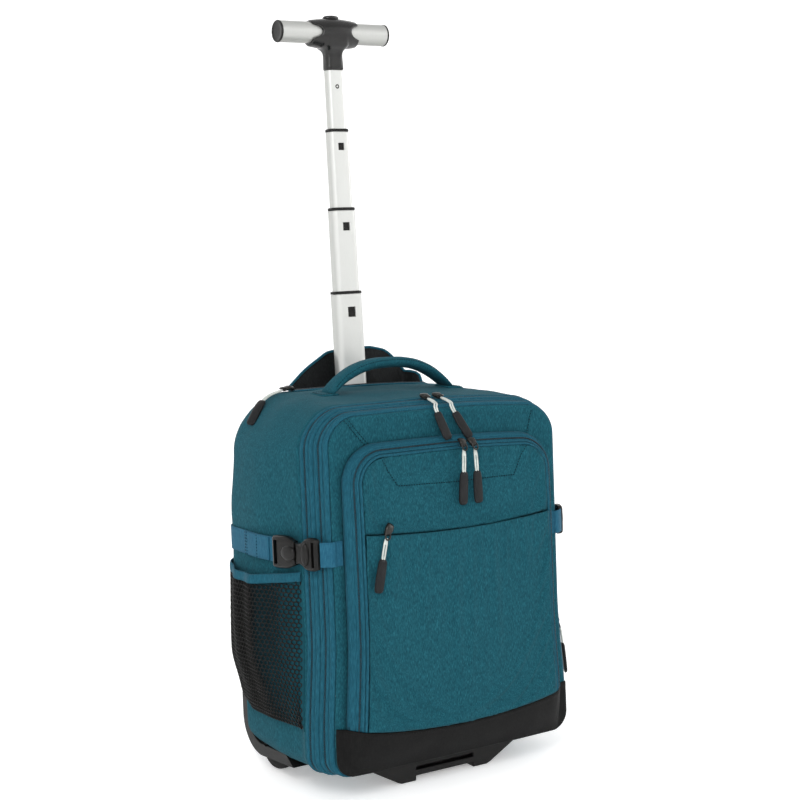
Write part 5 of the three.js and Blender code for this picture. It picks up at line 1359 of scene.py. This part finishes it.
def on_pole(points):
    p = np.asarray(points, float)
    y = p[..., 1] * math.cos(POLE_LEAN) + p[..., 2] * math.sin(POLE_LEAN) + POLE_SETBACK
    z = p[..., 2] * math.cos(POLE_LEAN) - p[..., 1] * math.sin(POLE_LEAN) + POLE_TOP
    return leaned(np.stack([p[..., 0], y, z], -1))


def pole_loop(width, depth, z):
    rx, ry = 0.2 * width, 0.38 * depth
    loop = []
    for start in (0, 90, 180, 270):
        sx, sy = (1 if start in (0, 270) else -1), (1 if start < 180 else -1)
        for angle in np.radians(np.linspace(start, start + 90, 9)):
            x, y = sx * (width / 2 - rx) + rx * math.cos(angle), sy * (depth / 2 - ry) + ry * math.sin(angle)
            loop.append((x, y, z))
    return loop


def pole_box(width, depth, height, centre):
    x, y, z = centre
    corners = ((-1, -1), (1, -1), (1, 1), (-1, 1))
    return on_pole([[(x + a * width / 2, y + b * depth / 2, z + level * height / 2) for a, b in corners]
                    for level in (-1, 1)])


def stage_size(k):
    return TOP_WIDTH + 2 * k * (POLE_WALL + SIDE_CLEAR), TOP_DEPTH + 2 * k * (POLE_WALL + POLE_CLEAR)


def metal_finish():
    """Satin anodised aluminium with painted reflection and shade: the attribute says how far round towards the
    profile's edge a place lies, and the colour darkens there.
    """
    finish, tree, shader = new_finish("satin_aluminium", 0.34, 0.55)
    streaks = streak_noise(tree, tree.nodes.new("ShaderNodeTexCoord").outputs["Object"], 1400, (1, 1, 0.01))
    edge = tree.nodes.new("ShaderNodeAttribute")
    edge.attribute_name = "edge"
    # painted reflection and shade: the base colour darkens as the edge attribute rises towards the profile's edges
    tone = math_node(tree, "ADD", math_node(tree, "MULTIPLY", streaks.outputs["Fac"], 0.14),
                     math_node(tree, "MULTIPLY", edge.outputs["Fac"], 0.86))
    tree.links.new(ramp(tree, tone, (0.05, "c8c9c6"), (0.35, "babbb8"), (0.75, "9a9b97"), (1.0, "7d7e7a")),
                   shader.inputs["Base Color"])
    bump(tree, shader, streaks.outputs["Fac"], 0.00002)
    return finish


def paint_edge_shade(made, shares):
    edge = made.data.attributes.new("edge", "FLOAT", "POINT")
    edge.data.foreach_set("value", np.asarray(shares, np.float32).ravel())


aluminium = metal_finish()
tops, level = [], -SLEEVE_DROP
for name, shown, overlap, window in STAGES[::-1]:
    level += COLLAR + GAP + shown
    tops.insert(0, level)
for k, (name, shown, overlap, window) in enumerate(STAGES):
    width, depth = stage_size(k)
    outer_top = tops[k + 1] if k < 3 else -SLEEVE_DROP
    low, high = outer_top - overlap, tops[k]
    inner = (width - 2 * POLE_WALL, depth - 2 * POLE_WALL)
    rings = [pole_loop(width, depth, z) for z in (low, low + 6, high - 6, high - 0.4)]
    rings.append(pole_loop(width - 0.8, depth - 0.8, high))
    rings += [pole_loop(*inner, z) for z in (high, high - 6, low + 6, low)]
    tube = solid(f"{name}_section", on_pole(rings), aluminium, joined=True)
    # painted shade on each stage: a grey line at the side edges and darker back corners
    side_share, back_share = np.abs(np.array(rings)[..., 0]) * 2 / width, np.array(rings)[..., 1] * 2 / depth
    back_corner_shade = 0.9 * eased_step(back_share, -0.1, 0.9) * eased_step(side_share, 0.6, 0.95)
    paint_edge_shade(tube, np.maximum(0.4 * eased_step(side_share, 0.9, 1), back_corner_shade))
    if window:
        opening = pole_box(window[0], depth, window[1], (0, -depth / 2, high - window[2]))
        carve(tube, solid("window", opening, aluminium, smooth=False))
    if k < 3:
        w, h, drop = STAGES[k + 1][3]
        opening = pole_box(w, 3 * POLE_WALL, h, (0, -(depth - POLE_WALL) / 2, outer_top - drop))
        carve(tube, solid("lock_hole", opening, aluminium, smooth=False))
        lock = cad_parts[f"lock_{k + 1}"]
        lock.data.materials.clear()
        lock.data.materials.append(black_plastic)
    crisp(tube, 40)
    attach(tube, POLE_BODIES[k])
    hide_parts(name)
for k in (1, 2, 3, 4):
    width, depth = stage_size(k)
    base = (tops + [-SLEEVE_DROP])[k] + GAP
    inner_width, inner_depth = stage_size(k - 1)
    rings = [pole_loop(width + 2 * COLLAR_PROUD - less, depth + 2 * COLLAR_PROUD - less, base + up)
             for less, up in ((0.6, 0), (0, 0.3), (0, COLLAR - 1), (0.5, COLLAR - 0.3), (1, COLLAR))]
    rings += [pole_loop(inner_width + 2 * POLE_CLEAR, inner_depth + 2 * POLE_CLEAR, base + up) for up in (COLLAR, 0)]
    node = "sleeve_collar" if k == 4 else f"collar_{k + 1}"
    collar = crisp(solid(f"{node}_ring", on_pole(rings), black_plastic, joined=True), 40)
    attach(collar, "bag" if k == 4 else POLE_BODIES[k])
    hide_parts(node)
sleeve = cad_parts["pole_sleeve"]
sleeve.data.materials.clear()
sleeve.data.materials.append(aluminium)

# Grip: a straight aluminium bar with black end caps through a glossy moulded hub. The hub's neck is
# plugged into the top stage, and the button in its crown frees the locks.
NECK, NECK_WIDTH, NECK_DEPTH, GRIP_LENGTH, GRIP_DIAMETER, GRIP_WALL = 45, 25, 16, 148.8, 26, 1.2
HUB_HALF, HUB_WALL, HUB_BELLY, BUTTON_TRAVEL = 33, 4.8, 1.13, 2.4
GRIP_Z, GRIP_RADIUS = tops[0] + GAP + NECK, GRIP_DIAMETER / 2
gloss_plastic = moulded_finish("gloss_plastic", "070707", "181716", 0.25, relief=0.00004, scale=1800.0,
                               Specular_IOR_Level=0.45)


def round_x(name, profile, finish):
    """A body turned about the grip's axis; the profile's rows are radius and x."""
    loops = [[(x, r * math.cos(t), GRIP_Z + r * math.sin(t)) for r, x in profile] for t in full_turn(64)]
    return crisp(solid(name, on_pole(loops), finish, joined=True), 40)


half_bar = GRIP_LENGTH / 2
bar_end = [(GRIP_RADIUS - GRIP_WALL, half_bar), (GRIP_RADIUS - 0.3, half_bar), (GRIP_RADIUS, half_bar - 0.3)]
bar = round_x("grip_bar_tube", [(r, -x) for r, x in bar_end] + bar_end[::-1], aluminium)
# painted reflection and shade on the grip bar: lighter along its sides, darker on top and more so underneath
bar_turns = np.sin(full_turn(64))
bar_painted_shade = np.where(bar_turns > 0, 0.6 * bar_turns ** 4, 0.35 * bar_turns ** 4 - 0.35 * bar_turns)
paint_edge_shade(bar, np.repeat(0.3 + bar_painted_shade, 6))
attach(bar, "grip")
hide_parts("grip_bar")
cap_start = half_bar + GAP
for sign, label in ((1, "right"), (-1, "left")):
    plug = [(0.05, -9), (10.5, -9), (GRIP_RADIUS - GRIP_WALL - GAP, -8), (GRIP_RADIUS - GRIP_WALL - GAP, 0)]
    rim = [(0.2, 0), (0.4, 0.3), (0.4, 1.2), (-0.1, 1.9), (-1.4, 2.2), (-2.4, 1.8)]
    profile = plug + [(GRIP_RADIUS + grow, out) for grow, out in rim] + [(6, 1.65), (0.05, 1.6)]
    cap = round_x(f"grip_end_cap_{label}", [(r, sign * (cap_start + out)) for r, out in profile], buckle_plastic)
    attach(cap, "grip")
    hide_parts(f"grip_cap_{label}")
shell = GRIP_RADIUS + HUB_WALL
saddle_loops = []
for a in np.linspace(-1, 1, 21):
    r = shell * (1 - 0.17 * abs(a) ** 1.8)
    saddle_loops.append([(a * HUB_HALF, r * math.cos(t), GRIP_Z + r * math.sin(t) * (HUB_BELLY if t > math.pi else 1))
                         for t in full_turn(56)])
saddle = solid("grip_hub_moulding", on_pole(saddle_loops), gloss_plastic)
neck_rows = np.array([[-1, 1, 1], [-0.68, 0.95, 0.98], [-0.58, 0.94, 1.0], [-0.5, 1.0, 1.1], [-0.45, 1.14, 1.32],
                      [-0.41, 1.32, 1.6], [-0.37, 1.48, 1.85], [-0.1, 1.55, 2.1]])
neck_fine = np.linspace(-1, -0.1, 37)
neck_widths, neck_depths = [smoothed(neck_rows[:, [0, k]], neck_fine, 7) for k in (1, 2)]
neck_loops = [pole_loop(NECK_WIDTH * w, NECK_DEPTH * d, GRIP_Z + z * NECK)
              for z, w, d in zip(neck_fine, neck_widths, neck_depths)]
carve(saddle, solid("neck", on_pole(neck_loops), gloss_plastic), "UNION")
spigot = [pole_loop(TOP_WIDTH - 2 * (POLE_WALL + GAP), TOP_DEPTH - 2 * (POLE_WALL + GAP), GRIP_Z - NECK + z)
          for z in (-12, 2)]
carve(saddle, solid("spigot", on_pole(spigot), gloss_plastic), "UNION")
for sign in (-1, 1):
    horn_x = sign * (HUB_HALF + 0.29 * GRIP_DIAMETER)
    cut_long, cut_high = 0.78 * GRIP_DIAMETER, 0.36 * GRIP_DIAMETER
    horn = [[(horn_x + cut_long * math.cos(t), y, GRIP_Z + cut_high * math.sin(t)) for t in full_turn(40)]
            for y in (-60, 60)]
    carve(saddle, solid("horn_cut", on_pole(horn), gloss_plastic))
rounded = saddle.modifiers.new("moulded", "REMESH")
rounded.mode, rounded.voxel_size, rounded.use_smooth_shade = "VOXEL", 0.0009, True
blended = saddle.modifiers.new("blended", "SMOOTH")
blended.factor, blended.iterations = 0.5, 16
settle_modifiers(saddle)
bore = [(0.01, -150), (GRIP_RADIUS + GAP, -150), (GRIP_RADIUS + GAP, 150), (0.01, 150)]
carve(saddle, round_x("bore", bore, gloss_plastic))
oval = [(math.cos(t), math.sin(t)) for t in full_turn(36)]
hole_long, hole_wide = 0.42 * GRIP_DIAMETER, 0.3 * GRIP_DIAMETER
hole = [[(hole_long * c, hole_wide * s, GRIP_Z + z) for c, s in oval] for z in (GRIP_RADIUS - 4, 1.5 * GRIP_DIAMETER)]
carve(saddle, solid("button_hole", on_pole(hole), gloss_plastic))
crisp(saddle, 45)
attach(saddle, "grip")
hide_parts("grip_hub")
button_low, button_high = GRIP_RADIUS + GAP + BUTTON_TRAVEL + 0.4, shell + 3.4
button_rows = [(0, 1), (0.5, 1), (0.72, 0.95), (0.88, 0.8), (0.97, 0.55), (1, 0.25)]
button_loops = [[(size * (hole_long - POLE_CLEAR) * c, size * (hole_wide - POLE_CLEAR) * s,
                  GRIP_Z + button_low + up * (button_high - button_low))
                 for c, s in oval] for up, size in button_rows]
button = solid("grip_button_cap", on_pole(button_loops), gloss_plastic)
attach(button, "button")
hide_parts("grip_button")
rivet_z = tops[0] - 20
rivet_profile = ((1.2, 0.02), (1.7, 0.02), (1.9, 0.35), (2.5, 0.35), (2.7, 0.02), (2.7, -0.4), (1.2, -0.4))
rivet_loops = [[(r * c, -TOP_DEPTH / 2 - out, rivet_z + r * s) for c, s in oval] for r, out in rivet_profile]
rivet = solid("grip_rivet", on_pole(rivet_loops), slider_metal, joined=True)
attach(rivet, "grip")

# Floor and light: a pale seamless floor, a large soft light from the upper left and a weaker one from
# the right, as in a product studio.
floor_finish, floor_tree, floor_shader = new_finish("pale_floor", 0.9, Emission_Color=(1, 1, 1, 1),
                                                    Emission_Strength=0.3)
floor_noise = streak_noise(floor_tree, floor_tree.nodes.new("ShaderNodeTexCoord").outputs["Object"], 3, (1, 1, 1))
floor_tree.links.new(ramp(floor_tree, floor_noise.outputs["Fac"], (0.3, "f4f4f4"), (0.7, "fbfbfb")),
                     floor_shader.inputs["Base Color"])
sweep = [(0.01, 0), (4, 0)] + [(6 + 3 * math.sin(a), 3 - 3 * math.cos(a))
                               for a in np.linspace(0, math.pi / 2, 12)] + [(9, 8)]
floor_points = [[(r * math.cos(t), r * math.sin(t), z) for t in full_turn(64)] for r, z in sweep]
floor = make("studio_floor", floor_points, quads(len(sweep), 64, wrap=True), floor_finish, (0, 0, -50))
sky = bpy.data.worlds.new("studio_sky")
sky.use_nodes = True
sky.node_tree.nodes["Background"].inputs["Color"].default_value = (1, 1, 1, 1)
sky.node_tree.nodes["Background"].inputs["Strength"].default_value = 0.72
bpy.context.scene.world = sky
bpy.context.scene.view_settings.view_transform = "Standard"
for name, place, aim, size, power in (
    ("key_light", (-1.9, -2.2, 2.4), (0, 0, 0.35), 1.2, 44), ("side_light", (2.6, -1.2, 1.6), (0, 0, 0.35), 1.2, 14),
    ("back_light", (-0.5, 2.4, 2.2), (0, 0, 0.4), 1.6, 10),
):
    lamp = bpy.data.lights.new(name, "AREA")
    lamp.size, lamp.energy = size, power
    light = bpy.data.objects.new(name, lamp)
    light.location = place
    light.rotation_euler = (Vector(aim) - Vector(place)).to_track_quat("-Z", "Y").to_euler()
    bpy.context.scene.collection.objects.link(light)
